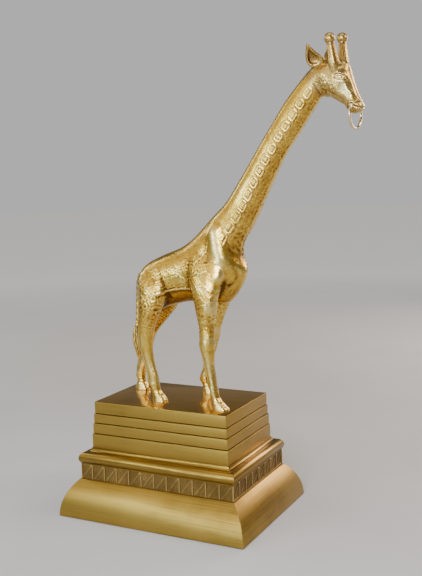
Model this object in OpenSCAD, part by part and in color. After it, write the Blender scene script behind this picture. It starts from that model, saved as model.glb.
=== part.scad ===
// Cast brass giraffe on a moulded plinth, with a ring hanging from its mouth.
// Millimetres. +X is the way the giraffe faces, +Y its left, +Z up.
// The origin is the middle of the plinth's underside.

/* [Plinth] */
// Length of the plinth at its foot
base_l = 360; // [350:1:370]
// Width of the plinth at its foot
base_w = 270; // [262:1:278]
// Radius of the big quarter-round foot moulding
foot_r = 86.4; // [80:0.2:92]
// Height of the foot moulding
foot_top = 64; // [58:1:68]
// Height at which the frieze band ends
frieze_top = 91; // [88:0.5:94]
// Radius of the half-round bead over the frieze
bead_r = 11; // [9:0.5:12]
// Height of the plinth's top face
plinth_top = 201; // [196:1:206]
// Wall of the plinth's castings
plinth_wall = 4; // [3:0.5:5]
// Panels along each long side of the frieze
panels_long = 12; // [8:1:16]
// Panels along each short side of the frieze
panels_short = 8; // [6:1:12]

/* [Giraffe] */
// Wall of the hollow body and neck castings
cast_wall = 5; // [4:0.5:6]
// How far the head is turned to the giraffe's right, in degrees
head_turn = 10; // [8:1:12]
// Radius of the ball on each ossicone
ball_r = 8.6; // [8.2:0.1:9.6]

/* [Mouth ring] */
// Radius of the ring's wire
wire_r = 2.1; // [1.8:0.1:2.3]
// Radius of the ring, measured to the middle of its wire
ring_r = 20.8; // [19:0.1:22]
// Half the length of the ring's straight bar, inside the mouth
bar_half = 13.6; // [13.4:0.1:15]
// Gap round the bar in its bore
bar_gap = 0.4; // [0.2:0.1:0.6]

/* [Fasteners] */
// Radius of the threaded studs under the hooves
stud_r = 2.5; // [2:0.5:3]
// Radius of the long rods that clamp the plinth
rod_r = 3; // [2.5:0.5:4]

/* [Hidden] */
$fn = 48;

brass = "#c99a45";
dull_brass = "#a8843c";
dark_brass = "#7a5a26";
steel = "#8d9096";

// The plinth's corners all lie on 45 degree mitres, so each width is its length less this
half_l = base_l / 2;
mitre_step = (base_l - base_w) / 2;

felt_t = 2;
lift = 1;
board_t = 9;
board_top = felt_t + board_t;
foot_cx = half_l - foot_r;
foot_lip = foot_cx + sqrt(foot_r * foot_r - foot_top * foot_top);
frieze_face = foot_lip - 1.6;
relief = 1.4;
frieze_back_face = frieze_face - relief;
bead_cz = frieze_top + bead_r - 1;
bead_cx = frieze_face - 8;
bead_in = bead_cx - bead_r;
cove_r = 6.5;
cove_top = bead_cz + bead_r + cove_r - 1;

// Half length of each tier of the block, from the lowest up, and the heights between them
tier_half = [133.9, 132.4, 131, 129.5];
tier_z = [cove_top, 143, 162, 179, plinth_top];
block_in = 122;
plate_t = 6;

rod_x = 113;
rod_y = rod_x - mitre_step;
rod_top = plinth_top - plate_t;
nut_hide = 6;
nut_t = 4;
washer_t = 1;

// Middle of each hoof on the plinth: right rear, left rear, right front, left front
hooves = [[-23, -37], [-99, 30], [102, -50], [35, 43]];
stud_up = 13;
stud_down = 15;

// ---- smooth skins through hand-set sections ----

// A section is [top x, top z, bottom x, bottom z, half width, middle y, turn]
function knot(a, b, c, d, t) =
    0.5 * (2 * b + (c - a) * t + (2 * a - 5 * b + 4 * c - d) * t * t
        + (3 * b - a - 3 * c + d) * t * t * t);
function smooth(s, n) = [
    for (i = [0 : len(s) - 2], k = [0 : n - 1])
        knot(s[max(i - 1, 0)], s[i], s[i + 1], s[min(i + 2, len(s) - 1)], k / n),
    s[len(s) - 1]
];
function part_of(s, first, last) = [for (i = [first : last]) s[i]];

// The section drawn in by t on every side
function inset(s, t) =
    let (d = [s[2] - s[0], s[3] - s[1]], u = d / norm(d) * t)
    [s[0] + u[0], s[1] + u[1], s[2] - u[0], s[3] - u[1], s[4] - t, s[5], s[6]];
function inset_all(s, t) = [for (i = s) inset(i, t)];

// The point on the neck's top end about which the head turns
turn_x = 258;
function turned(p, a) = [
    turn_x + (p[0] - turn_x) * cos(a) + p[1] * sin(a),
    -(p[0] - turn_x) * sin(a) + p[1] * cos(a),
    p[2]
];
function ring(s, n) = [
    for (i = [0 : n - 1])
        let (c = cos(360 * i / n), w = s[4] * sin(360 * i / n))
        turned([
            (s[0] + s[2]) / 2 + (s[0] - s[2]) / 2 * c,
            s[5] + w,
            (s[1] + s[3]) / 2 + (s[1] - s[3]) / 2 * c
        ], s[6])
];

module skin(sections, n) {
    last = len(sections) - 1;
    points = [for (s = sections) each ring(s, n)];
    sides = [
        for (r = [0 : last - 1], i = [0 : n - 1])
            let (a = r * n + i, b = r * n + (i + 1) % n)
            each [[a, b, b + n], [a, b + n, a + n]]
    ];
    ends = [
        [for (i = [n - 1 : -1 : 0]) i],
        [for (i = [0 : n - 1]) last * n + i]
    ];
    polyhedron(points, concat(sides, ends), 8);
}

// A tube open at both ends: one skin outside, one inside, and a flat rim at each end
module shell(outer, inner, n) {
    rings = len(outer);
    k = rings * n;
    points = concat([for (s = outer) each ring(s, n)], [for (s = inner) each ring(s, n)]);
    sides = [
        for (r = [0 : rings - 2], i = [0 : n - 1])
            let (a = r * n + i, b = r * n + (i + 1) % n)
            each [[a, b, b + n], [a, b + n, a + n],
                [k + a, k + b + n, k + b], [k + a, k + a + n, k + b + n]]
    ];
    rims = [
        for (i = [0 : n - 1])
            let (j = (i + 1) % n, e = k - n)
            each [[j, i, k + i], [j, k + i, k + j],
                [e + i, e + j, k + e + j], [e + i, k + e + j, k + e + i]]
    ];
    polyhedron(points, concat(sides, rims), 8);
}

// One closed skin of facets, so that everything inside is cut and joined as a mesh
module as_mesh() {
    resize([0, 0, 0]) children();
}

// ---- giraffe: sections ----

body_sides = 20;
leg_sides = 14;
steps = 2;

torso_sections = [
    [-77, 402, -77, 374, 9, 0, 0],
    [-75, 415, -72, 358, 20, 0, 0],
    [-68, 431, -57, 353, 30, 0, 0],
    [-56, 442, -36, 358, 36, 0, 0],
    [-40, 450, -12, 367, 37, 0, 0],
    [-22, 458, 14, 374, 36.5, 0, 0],
    [-5, 464, 40, 377, 36.5, 0, 0],
    [12, 471, 70, 376, 37.5, 0, 0],
    [27, 480, 100, 377, 38, 0, 0],
    [40, 490, 122, 402, 38, 0, 0],
    [53, 502, 134, 430, 36.5, 0, 0],
    [68, 517, 126, 459, 34, 0, 0],
    [84, 532, 131, 483, 30, 0, 0],
    [102, 550, 147, 507, 26.5, 0, 0]
];
neck_sections = [
    [127, 586, 168, 547, 24, 0, 0],
    [148, 617, 186, 582, 22.5, 0, 0],
    [170, 651, 206, 620, 21, 0, 0],
    [189, 678, 224, 646, 20, 0, 0],
    [206, 703, 240, 668, 19.5, 0, 0],
    [224, 725, 255, 690, 19, 0, 0],
    [244, 747, 271, 712, 19, 0, 0]
];
head_sections = [
    [244, 747, 271, 712, 19, 0, 0],
    [254, 757, 279, 711, 19.5, 0, head_turn * 0.4],
    [265, 765, 287, 711, 20, 0, head_turn * 0.8],
    [280, 769, 292, 709, 20.5, 0, head_turn],
    [297, 769, 299, 705, 21, 0, head_turn],
    [310.5, 765, 306, 701, 20, 0, head_turn],
    [319, 755, 311, 698, 17.5, 0, head_turn],
    [323.5, 743, 315, 695, 15, 0, head_turn],
    [329, 728, 318, 690, 13, 0, head_turn],
    [335, 713, 322, 686, 12.5, 0, head_turn],
    [341, 702, 329, 683, 12.5, 0, head_turn],
    [344, 695, 336, 684, 10.5, 0, head_turn],
    [342, 689, 339, 686, 6, 0, head_turn]
];
all_rings = smooth(concat(torso_sections, neck_sections), steps);
joint = steps * (len(torso_sections) - 1);
neck_end = len(all_rings) - 1;
neck_last = all_rings[neck_end];
socket_depth = 14;
sleeve_room = 1.1;
neck_lean = [35, 27] / norm([35, 27]) * socket_depth;
function moved(s, d) = [s[0] + d[0], s[1] + d[1], s[2] + d[0], s[3] + d[1], s[4] - 0.4, s[5], s[6]];

// A leg is level slices, [front x, back x, height, middle y, half width], from the bottom up
leg_rear_right_slices = [
    [-10, -34, plinth_top, -37, 10],
    [-13, -35, 210, -37, 9.3],
    [-20, -38, 219, -37, 8],
    [-23, -44, 231, -37, 8.7],
    [-24.5, -46, 245, -37, 7.5],
    [-30, -52, 265, -37, 7.3],
    [-33.5, -56, 283, -37, 8.5],
    [-34.5, -61, 299, -37, 10.3],
    [-34, -63, 312, -37, 11.5],
    [-31, -61.5, 328, -36.5, 13],
    [-25, -60, 347, -35, 16],
    [-16, -60, 364, -33, 18.5],
    [-7, -62, 386, -29, 19.5],
    [0, -64, 407, -25, 18],
    [-2, -64, 428, -19, 12]
];
leg_rear_left_slices = [
    [-86, -112, plinth_top, 30, 10],
    [-88, -110, 210, 30, 9.3],
    [-92, -107.5, 219, 30, 8],
    [-91.5, -110, 232, 30, 8.7],
    [-87, -108, 249, 30, 7.5],
    [-79, -101, 266, 30, 7.3],
    [-73.5, -96, 284, 30, 8.5],
    [-69, -94, 300, 30, 10.3],
    [-62, -90, 314, 31, 11.5],
    [-48, -83, 330, 32, 13],
    [-33, -74, 347, 33, 16],
    [-19, -67, 364, 33, 18.5],
    [-8, -65, 386, 29, 19.5],
    [0, -64, 407, 25, 18],
    [-2, -64, 428, 19, 12]
];
leg_front_right_slices = [
    [117, 91, plinth_top, -50, 10.5],
    [110, 89.5, 210, -50, 9.5],
    [102, 87.5, 220, -49.5, 8],
    [98.5, 84, 232, -48.5, 8.8],
    [96, 80.5, 246, -48, 8.2],
    [93.5, 75.5, 262, -47, 8.2],
    [91.5, 72, 278, -46.5, 8.9],
    [91.3, 68.5, 294, -45.5, 11.2],
    [92, 64.5, 309, -45, 12.4],
    [91.6, 64.5, 324, -44, 12],
    [91, 62.5, 345, -43, 12.3],
    [94.5, 58, 364, -42, 14.2],
    [97, 53, 384, -40, 16.5],
    [101, 45, 403, -36, 18.5],
    [106, 38, 427, -30, 18],
    [107, 35, 452, -24, 15.5],
    [102, 41, 476, -17, 12]
];
leg_front_left_slices = [
    [49, 25, plinth_top, 43, 10.5],
    [44, 24, 210, 43, 9.5],
    [38.5, 22.5, 219, 42.5, 8],
    [36.5, 18, 231, 42, 8.8],
    [39, 23.5, 246, 42, 8.2],
    [44.5, 27.5, 262, 41, 8.2],
    [49.5, 30.5, 278, 41, 8.9],
    [55.3, 32.5, 294, 40, 11.2],
    [59.3, 34, 309, 40, 12.4],
    [62.2, 37.5, 324, 40, 12],
    [70.5, 42, 345, 40, 12.3],
    [79, 45, 364, 39, 14.2],
    [89, 46, 384, 38, 16.5],
    [98, 43, 403, 35, 18.5],
    [106, 38, 427, 30, 18],
    [107, 35, 452, 24, 15.5],
    [102, 41, 476, 17, 12]
];
tail_slices = [
    [-83, -88, 267, 0, 2],
    [-81.5, -92, 279, 0, 5],
    [-81.5, -96, 294, 0, 6.5],
    [-82, -95, 312, 0, 6.5],
    [-81, -90, 330, 0, 4.6],
    [-79.5, -87.5, 352, 0, 4.2],
    [-77, -86.5, 380, 0, 4.6],
    [-71, -84.5, 405, 0, 5.5],
    [-62, -79, 424, 0, 6.5]
];
// The knuckle slice at which each leg meets the body's stub
rear_joint = 10;
front_joint = 10;

function level(slices) = [for (s = slices) [s[1], s[2], s[0], s[2], s[4], s[3], 0]];
function leg_part(slices, first, last) =
    part_of(smooth(level(slices), steps), steps * first, steps * last);

module leg_stub(slices, first) {
    skin(leg_part(slices, first, len(slices) - 1), leg_sides);
}

// The hollow runs past each joint's plane, with no ring of its own in that plane
module body_cavity() {
    inner = concat(part_of(all_rings, 3, joint - 1), [all_rings[joint + 1]]);
    skin(inset_all(inner, cast_wall - sleeve_room), body_sides);
}

module head_socket() {
    inner = [all_rings[neck_end - 1], moved(neck_last, neck_lean)];
    skin(inset_all(inner, cast_wall - sleeve_room), body_sides);
}

module body_solid() {
    skin(part_of(all_rings, 0, joint), body_sides);
    leg_stub(leg_rear_right_slices, rear_joint);
    leg_stub(leg_rear_left_slices, rear_joint);
    leg_stub(leg_front_right_slices, front_joint);
    leg_stub(leg_front_left_slices, front_joint);
}

module leg(slices, top, hoof) {
    color(brass) difference() {
        skin(leg_part(slices, 0, top), leg_sides);
        translate([hoof[0], hoof[1], plinth_top - 1]) cylinder(r = stud_r, h = stud_up + 1);
    }
}

module sleeve(first, last, past) {
    core = concat(part_of(all_rings, first, last), past);
    shell(inset_all(core, cast_wall), inset_all(core, cast_wall + 2.5), body_sides);
}

// ---- giraffe: pieces ----

module torso() {
    color(brass) as_mesh() difference() {
        body_solid();
        body_cavity();
    }
}

module neck() {
    walls = part_of(all_rings, joint, neck_end);
    color(brass) shell(walls, inset_all(walls, cast_wall), body_sides);
}

module neck_sleeve() {
    color(dull_brass) sleeve(joint - 1, joint + 1, []);
}

module head_sleeve() {
    color(dull_brass) sleeve(neck_end - 2, neck_end, [moved(neck_last, neck_lean)]);
}

module in_head() {
    translate([turn_x, 0, 0]) rotate([0, 0, -head_turn]) translate([-turn_x, 0, 0]) children();
}

// The mouth's bore, and where each ossicone stands, before the head is turned
mouth = [330.5, 0, 696.5];
// The bore is not quite square to the head
ring_yaw = 2.5;
ossicone_foot = [302.6, 15.9, 755];
ossicone_ball = [297.8, 20.1, 799.2];
// The right ossicone stands a little lower than the left
ossicone_skew = 2;
stem_r = 7.6;
function stem_top(side) = ossicone_ball + [0, 0, side * ossicone_skew];
function stem_l(side) = norm(stem_top(side) - ossicone_foot);

module head_solid() {
    skin(smooth(head_sections, steps), body_sides);
}

module on_stem(side) {
    rise = stem_top(side) - ossicone_foot;
    in_head() translate([ossicone_foot[0], side * ossicone_foot[1], ossicone_foot[2]])
        rotate([0, 0, atan2(side * rise[1], rise[0])])
            rotate([0, atan2(norm([rise[0], rise[1]]), rise[2]), 0]) children();
}

module head() {
    color(brass) difference() {
        as_mesh() difference() {
            head_solid();
            head_socket();
        }
        in_head() translate(mouth) rotate([0, 0, ring_yaw]) rotate([90, 0, 0])
            cylinder(r = wire_r + bar_gap, h = 60, center = true);
        for (side = [-1, 1]) on_stem(side) cylinder(r = stem_r, h = 40);
    }
}

module ossicone(side) {
    color(brass) on_stem(side) {
        cylinder(r1 = stem_r, r2 = stem_r - 1.6, h = stem_l(side));
        translate([0, 0, stem_l(side)]) sphere(r = ball_r);
    }
}

// An ear is one rounded leaf: the middle of each round on its rim, and its radius
ear_rounds = [
    [282, 16, 766, 4.5],
    [268, 22, 759, 3.6],
    [262.5, 29, 773, 3.2],
    [268, 34.5, 789, 2],
    [275, 25, 778.5, 2.4],
    [262, 26, 764, 3]
];
ear_hollow = [272.5, 29.5, 771];

module ear(side) {
    color(brass) as_mesh() difference() {
        in_head() hull() for (e = ear_rounds)
            translate([e[0], side * e[1], e[2]]) sphere(r = e[3], $fn = 16);
        head_solid();
        in_head() translate([ear_hollow[0], side * ear_hollow[1], ear_hollow[2]])
            rotate([0, 0, side * -40]) scale([0.45, 0.75, 1]) sphere(r = 8, $fn = 20);
    }
}

module tail() {
    color(brass) as_mesh() difference() {
        skin(smooth(level(tail_slices), steps), 12);
        body_solid();
    }
}

// The ring hangs as a chord's bar through the mouth and an arc below it
ring_drop = sqrt(ring_r * ring_r - bar_half * bar_half);
chord_angle = acos(bar_half / ring_r);

module mouth_ring() {
    color(brass) as_mesh() in_head() translate(mouth) rotate([0, 0, ring_yaw]) rotate([90, 0, 90]) {
        rotate([0, 90, 0]) cylinder(r = wire_r, h = 2 * bar_half, center = true, $fn = 24);
        translate([0, -ring_drop, 0]) rotate([0, 0, 180 - chord_angle])
            rotate_extrude(angle = 180 + 2 * chord_angle, $fn = 72)
                translate([ring_r, 0]) circle(r = wire_r, $fn = 20);
        for (side = [-1, 1]) translate([side * bar_half, 0, 0]) sphere(r = wire_r * 1.08, $fn = 20);
    }
}

module leg_front_right() { leg(leg_front_right_slices, front_joint, hooves[2]); }
module leg_front_left() { leg(leg_front_left_slices, front_joint, hooves[3]); }
module leg_rear_right() { leg(leg_rear_right_slices, rear_joint, hooves[0]); }
module leg_rear_left() { leg(leg_rear_left_slices, rear_joint, hooves[1]); }
module ear_right() { ear(-1); }
module ear_left() { ear(1); }
module ossicone_right() { ossicone(-1); }
module ossicone_left() { ossicone(1); }

// ---- plinth ----

module at_rods() {
    for (x = [-rod_x, rod_x], y = [-rod_y, rod_y]) translate([x, y, 0]) children();
}

module at_hooves() {
    for (h = hooves) translate([h[0], h[1], 0]) children();
}

module plan(half, z, h) {
    translate([-half, -(half - mitre_step), z]) cube([2 * half, 2 * (half - mitre_step), h]);
}

// One side's wedge of the plan, between the two mitres: 0 right end, 1 back, 2 left end, 3 front
module wedge(side) {
    far = half_l + 10;
    near = mitre_step;
    end = [[near, 0], [far, near - far], [far, far - near]];
    long = [[-near, 0], [near, 0], [far, near - far], [-far, near - far]];
    turn = side == 2 ? 180 : side == 1 ? 180 : 0;
    rotate([0, 0, turn]) linear_extrude(height = plinth_top)
        polygon(side % 2 == 0 ? end : long);
}

// A moulding's side: children() is its outline, x outward from the middle of the long way, y up
module moulding(side) {
    step = side % 2 == 0 ? 0 : mitre_step;
    intersection() {
        wedge(side);
        rotate([0, 0, side * 90]) translate([-step, 0, 0]) rotate([90, 0, 0])
            linear_extrude(height = 2 * half_l + 20, center = true) children();
    }
}

module foot_outline() {
    intersection() {
        translate([foot_cx, 0]) difference() {
            circle(r = foot_r, $fn = 96);
            circle(r = foot_r - plinth_wall, $fn = 96);
        }
        translate([foot_cx, lift]) square([foot_r, foot_top - lift]);
    }
    // Ledge on which the frieze stands, and the rib that the board bears on
    translate([foot_lip - 18, foot_top - 4]) square([16, 4]);
    translate([foot_cx + foot_r - 18, board_top]) square([15, 4]);
}

module foot_front() { color(dull_brass) moulding(3) foot_outline(); }
module foot_back() { color(dull_brass) moulding(1) foot_outline(); }
module foot_left() { color(dull_brass) moulding(2) foot_outline(); }
module foot_right() { color(dull_brass) moulding(0) foot_outline(); }

// The frieze's raised pattern on one side: a slant and an upright in each panel
module panel_relief(run, panels) {
    pitch = run / panels;
    high = frieze_top - foot_top;
    bar = 1.8;
    for (i = [0 : panels - 1]) translate([-run / 2 + i * pitch, 0]) {
        translate([pitch - bar, 0]) square([bar, high]);
        polygon([[0, 0], [bar * 1.3, 0], [pitch - bar / 2, high], [pitch - bar * 1.8, high]]);
    }
    translate([-run / 2, 0]) square([run, 1.4]);
    translate([-run / 2, 0]) square([bar, high]);
}

module frieze(side) {
    step = side % 2 == 0 ? 0 : mitre_step;
    across = 2 * (side % 2 == 0 ? frieze_face - mitre_step : frieze_face);
    color(dark_brass) intersection() {
        wedge(side);
        rotate([0, 0, side * 90]) translate([frieze_back_face - step, 0, foot_top])
            rotate([90, 0, 90]) {
                translate([-across / 2, 0, relief - plinth_wall])
                    cube([across, frieze_top - foot_top, plinth_wall - relief]);
                linear_extrude(height = relief)
                    panel_relief(across, side % 2 == 0 ? panels_short : panels_long);
            }
    }
}

module frieze_front() { frieze(3); }
module frieze_back() { frieze(1); }
module frieze_left() { frieze(2); }
module frieze_right() { frieze(0); }

module bead_outline() {
    intersection() {
        translate([bead_cx, bead_cz]) circle(r = bead_r);
        translate([bead_in, frieze_top]) square([2 * bead_r, 2 * bead_r]);
    }
    translate([bead_in, frieze_top]) square([frieze_face - bead_in - 0.5, bead_r]);
    difference() {
        translate([bead_in, bead_cz]) square([bead_r, cove_top - bead_cz]);
        translate([bead_cx, cove_top]) circle(r = cove_r);
    }
}

module bead_front() { color(dull_brass) moulding(3) bead_outline(); }
module bead_back() { color(dull_brass) moulding(1) bead_outline(); }
module bead_left() { color(dull_brass) moulding(2) bead_outline(); }
module bead_right() { color(dull_brass) moulding(0) bead_outline(); }

module tier(i) {
    color(dull_brass) difference() {
        plan(tier_half[i], tier_z[i], tier_z[i + 1] - tier_z[i]);
        plan(block_in, tier_z[i] - 1, tier_z[i + 1] - tier_z[i] + 2);
    }
}

module tier_4() { tier(0); }
module tier_3() { tier(1); }
module tier_2() { tier(2); }

module top_slab() {
    color(dull_brass) difference() {
        union() {
            difference() {
                plan(tier_half[3], tier_z[3], plinth_top - tier_z[3]);
                plan(block_in, tier_z[3] - 1, rod_top - tier_z[3] + 1);
            }
            at_rods() translate([0, 0, tier_z[3]]) cylinder(r = 8, h = rod_top - tier_z[3] + 1);
        }
        at_rods() translate([0, 0, tier_z[3] - 1]) cylinder(r = rod_r, h = rod_top - tier_z[3] + 1);
        at_hooves() translate([0, 0, rod_top - 1]) cylinder(r = stud_r + 0.3, h = plate_t + 2);
    }
}

module base_board() {
    color("#6b4a2a") difference() {
        plan(half_l - 5.5, felt_t, board_t);
        at_rods() translate([0, 0, felt_t - 1]) {
            cylinder(r = rod_r + 0.3, h = board_t + 2);
            cylinder(r = 9, h = nut_hide + 1);
        }
    }
}

module felt_sheet() {
    color("#3d4a3a") plan(half_l - 8, 0, felt_t);
}

module tie_rods() {
    color(steel) at_rods() translate([0, 0, felt_t + 0.5]) cylinder(r = rod_r, h = rod_top - felt_t - 0.5);
}

module nut(r, t) {
    difference() {
        cylinder(r = r * 1.85, h = t, $fn = 6);
        translate([0, 0, -1]) cylinder(r = r, h = t + 2);
    }
}

module washer(r, outer) {
    difference() {
        cylinder(r = outer, h = washer_t);
        translate([0, 0, -1]) cylinder(r = r + 0.2, h = washer_t + 2);
    }
}

module tie_washers() {
    color(steel) at_rods() translate([0, 0, felt_t + nut_hide - washer_t]) washer(rod_r, 8);
}

module tie_nuts() {
    color(steel) at_rods() translate([0, 0, felt_t + nut_hide - washer_t - nut_t]) nut(rod_r, nut_t);
}

module hoof_studs() {
    color(steel) at_hooves() translate([0, 0, plinth_top - stud_down])
        cylinder(r = stud_r, h = stud_down + stud_up);
}

module hoof_washers() {
    color(steel) at_hooves() translate([0, 0, rod_top - washer_t]) washer(stud_r, 6);
}

module hoof_nuts() {
    color(steel) at_hooves() translate([0, 0, rod_top - washer_t - nut_t]) nut(stud_r, nut_t);
}

felt_sheet();
base_board();
tie_rods();
tie_nuts();
tie_washers();
foot_front();
foot_back();
foot_left();
foot_right();
frieze_front();
frieze_back();
frieze_left();
frieze_right();
bead_front();
bead_back();
bead_left();
bead_right();
tier_4();
tier_3();
tier_2();
top_slab();
hoof_studs();
hoof_nuts();
hoof_washers();
torso();
neck();
neck_sleeve();
head();
head_sleeve();
tail();
leg_front_right();
leg_front_left();
leg_rear_right();
leg_rear_left();
ear_right();
ear_left();
ossicone_right();
ossicone_left();
mouth_ring();
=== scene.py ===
import math
from contextlib import contextmanager

import bmesh
import bpy
import numpy as np
from mathutils import Matrix, Quaternion, Vector


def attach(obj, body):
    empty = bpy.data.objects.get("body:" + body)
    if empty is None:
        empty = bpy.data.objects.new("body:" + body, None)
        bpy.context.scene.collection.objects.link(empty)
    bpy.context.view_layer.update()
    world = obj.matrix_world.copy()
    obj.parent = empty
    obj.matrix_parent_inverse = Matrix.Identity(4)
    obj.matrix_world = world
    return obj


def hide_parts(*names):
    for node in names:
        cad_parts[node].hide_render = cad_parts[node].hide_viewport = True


# Cast brass giraffe on a moulded plinth, with a ring hanging from its mouth
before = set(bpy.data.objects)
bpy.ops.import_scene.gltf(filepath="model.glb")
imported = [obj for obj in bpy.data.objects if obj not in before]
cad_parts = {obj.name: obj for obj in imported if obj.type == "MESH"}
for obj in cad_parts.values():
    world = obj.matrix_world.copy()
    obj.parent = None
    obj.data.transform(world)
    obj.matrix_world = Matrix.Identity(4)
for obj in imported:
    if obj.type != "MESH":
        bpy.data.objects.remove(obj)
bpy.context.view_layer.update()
MM = 0.001

# -------- sizes, in millimetres, as in the CAD
HALF_L, MITRE = 180.0, 45.0
FOOT_R, FOOT_TOP, FRIEZE_TOP = 86.4, 64.0, 91.0
FOOT_CX = HALF_L - FOOT_R
FOOT_LIP = FOOT_CX + math.sqrt(FOOT_R ** 2 - FOOT_TOP ** 2)
FACE = FOOT_LIP - 1.6
BEAD_R = 11.0
BEAD_CX, BEAD_CZ = FACE - 8, FRIEZE_TOP + BEAD_R - 1
COVE_R = 6.5
COVE_TOP = BEAD_CZ + BEAD_R + COVE_R - 1
TIERS = [(133.9, COVE_TOP, 143), (132.4, 143, 162), (131, 162, 179), (129.5, 179, 201)]
INNER = 122.0
TOP = 201.0
LEDGE_Z, LEDGE_IN = FOOT_TOP - 4, FOOT_LIP - 18
HEAD_TURN, TURN_X = 10.0, 258.0
RING_YAW = 2.5

# [top x, top z, bottom x, bottom z, half width, middle y, turn]
TORSO = [
    [-77, 402, -77, 374, 9, 0, 0], [-75, 415, -72, 358, 20, 0, 0], [-68, 431, -57, 353, 30, 0, 0],
    [-56, 442, -36, 358, 36, 0, 0], [-40, 450, -12, 367, 37, 0, 0], [-22, 458, 14, 374, 36.5, 0, 0],
    [-5, 464, 40, 377, 36.5, 0, 0], [12, 471, 70, 376, 37.5, 0, 0], [27, 480, 100, 377, 38, 0, 0],
    [40, 490, 122, 402, 38, 0, 0], [53, 502, 134, 430, 36.5, 0, 0], [68, 517, 126, 459, 34, 0, 0],
    [84, 532, 131, 483, 30, 0, 0], [102, 550, 147, 507, 26.5, 0, 0]]
NECK = [
    [127, 586, 168, 547, 24, 0, 0], [148, 617, 186, 582, 22.5, 0, 0], [170, 651, 206, 620, 21, 0, 0],
    [189, 678, 224, 646, 20, 0, 0], [206, 703, 240, 668, 19.5, 0, 0], [224, 725, 255, 690, 19, 0, 0],
    [244, 747, 271, 712, 19, 0, 0]]
HEAD = [
    [254, 757, 279, 711, 19.5, 0, 4], [265, 765, 287, 711, 20, 0, 8], [280, 769, 292, 709, 20.5, 0, 10],
    [297, 769, 299, 705, 21, 0, 10], [310.5, 765, 306, 701, 20, 0, 10], [319, 755, 311, 698, 17.5, 0, 10],
    [323.5, 743, 315, 695, 15, 0, 10], [329, 728, 318, 690, 13, 0, 10], [335, 713, 322, 686, 12.5, 0, 10],
    [341, 702, 329, 683, 12.5, 0, 10], [344, 695, 336, 684, 10.5, 0, 10], [342, 689, 339, 686, 6, 0, 10]]
# [front x, back x, height, middle y, half width]
LEGS = {
    "rear_right": [
        [-10, -34, 201, -37, 10], [-13, -35, 210, -37, 9.3], [-20, -38, 219, -37, 8],
        [-23, -44, 231, -37, 8.7],
        [-24.5, -46, 245, -37, 7.5], [-30, -52, 265, -37, 7.3], [-33.5, -56, 283, -37, 8.5],
        [-34.5, -61, 299, -37, 10.3], [-34, -63, 312, -37, 11.5], [-31, -61.5, 328, -36.5, 13],
        [-25, -60, 347, -35, 16], [-16, -60, 364, -33, 18.5], [-7, -62, 386, -29, 19.5],
        [0, -64, 407, -25, 18], [-2, -64, 428, -19, 12]],
    "rear_left": [
        [-86, -112, 201, 30, 10], [-88, -110, 210, 30, 9.3], [-92, -107.5, 219, 30, 8],
        [-91.5, -110, 232, 30, 8.7],
        [-87, -108, 249, 30, 7.5], [-79, -101, 266, 30, 7.3], [-73.5, -96, 284, 30, 8.5],
        [-69, -94, 300, 30, 10.3], [-62, -90, 314, 31, 11.5], [-48, -83, 330, 32, 13],
        [-33, -74, 347, 33, 16], [-19, -67, 364, 33, 18.5], [-8, -65, 386, 29, 19.5],
        [0, -64, 407, 25, 18], [-2, -64, 428, 19, 12]],
    "front_right": [
        [117, 91, 201, -50, 10.5], [110, 89.5, 210, -50, 9.5], [102, 87.5, 220, -49.5, 8],
        [98.5, 84, 232, -48.5, 8.8],
        [96, 80.5, 246, -48, 8.2], [93.5, 75.5, 262, -47, 8.2], [91.5, 72, 278, -46.5, 8.9],
        [91.3, 68.5, 294, -45.5, 11.2],
        [92, 64.5, 309, -45, 12.4], [91.6, 64.5, 324, -44, 12], [91, 62.5, 345, -43, 12.3],
        [94.5, 58, 364, -42, 14.2],
        [97, 53, 384, -40, 16.5], [101, 45, 403, -36, 18.5], [106, 38, 427, -30, 18],
        [107, 35, 452, -24, 15.5],
        [102, 41, 476, -17, 12]],
    "front_left": [
        [49, 25, 201, 43, 10.5], [44, 24, 210, 43, 9.5], [38.5, 22.5, 219, 42.5, 8], [36.5, 18, 231, 42, 8.8],
        [39, 23.5, 246, 42, 8.2], [44.5, 27.5, 262, 41, 8.2], [49.5, 30.5, 278, 41, 8.9],
        [55.3, 32.5, 294, 40, 11.2],
        [59.3, 34, 309, 40, 12.4], [62.2, 37.5, 324, 40, 12], [70.5, 42, 345, 40, 12.3],
        [79, 45, 364, 39, 14.2],
        [89, 46, 384, 38, 16.5], [98, 43, 403, 35, 18.5], [106, 38, 427, 30, 18], [107, 35, 452, 24, 15.5],
        [102, 41, 476, 17, 12]]}
TAIL = [
    [-83, -88, 267, 0, 2], [-81.5, -92, 279, 0, 5], [-81.5, -96, 294, 0, 6.5], [-82, -95, 312, 0, 6.5],
    [-81, -90, 330, 0, 4.6], [-79.5, -87.5, 352, 0, 4.2], [-77, -86.5, 380, 0, 4.6],
    [-71, -84.5, 405, 0, 5.5],
    [-62, -79, 424, 0, 6.5]]
MOUTH = (330.5, 0.0, 696.5)


# -------- numbers
def cubic(a, b, c, d, t):
    """Catmull-Rom between b and c."""
    return 0.5 * (2 * b + (c - a) * t + (2 * a - 5 * b + 4 * c - d) * t * t
                  + (3 * b - a - 3 * c + d) * t ** 3)


def spline(rows, n):
    """Catmull-Rom through the rows, n steps to each."""
    rows = np.array(rows, float)
    k = len(rows)
    out = []
    for i in range(k - 1):
        a, b, c, d = rows[max(i - 1, 0)], rows[i], rows[i + 1], rows[min(i + 2, k - 1)]
        out += [cubic(a, b, c, d, j / n) for j in range(n)]
    out.append(rows[-1])
    return np.array(out)


def turned(p, degrees):
    """Points turned about the neck's top, the way the head turns."""
    a = np.radians(degrees)
    x, y = p[..., 0] - TURN_X, p[..., 1]
    return np.stack([TURN_X + x * np.cos(a) + y * np.sin(a), -x * np.sin(a) + y * np.cos(a), p[..., 2]], -1)


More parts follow.
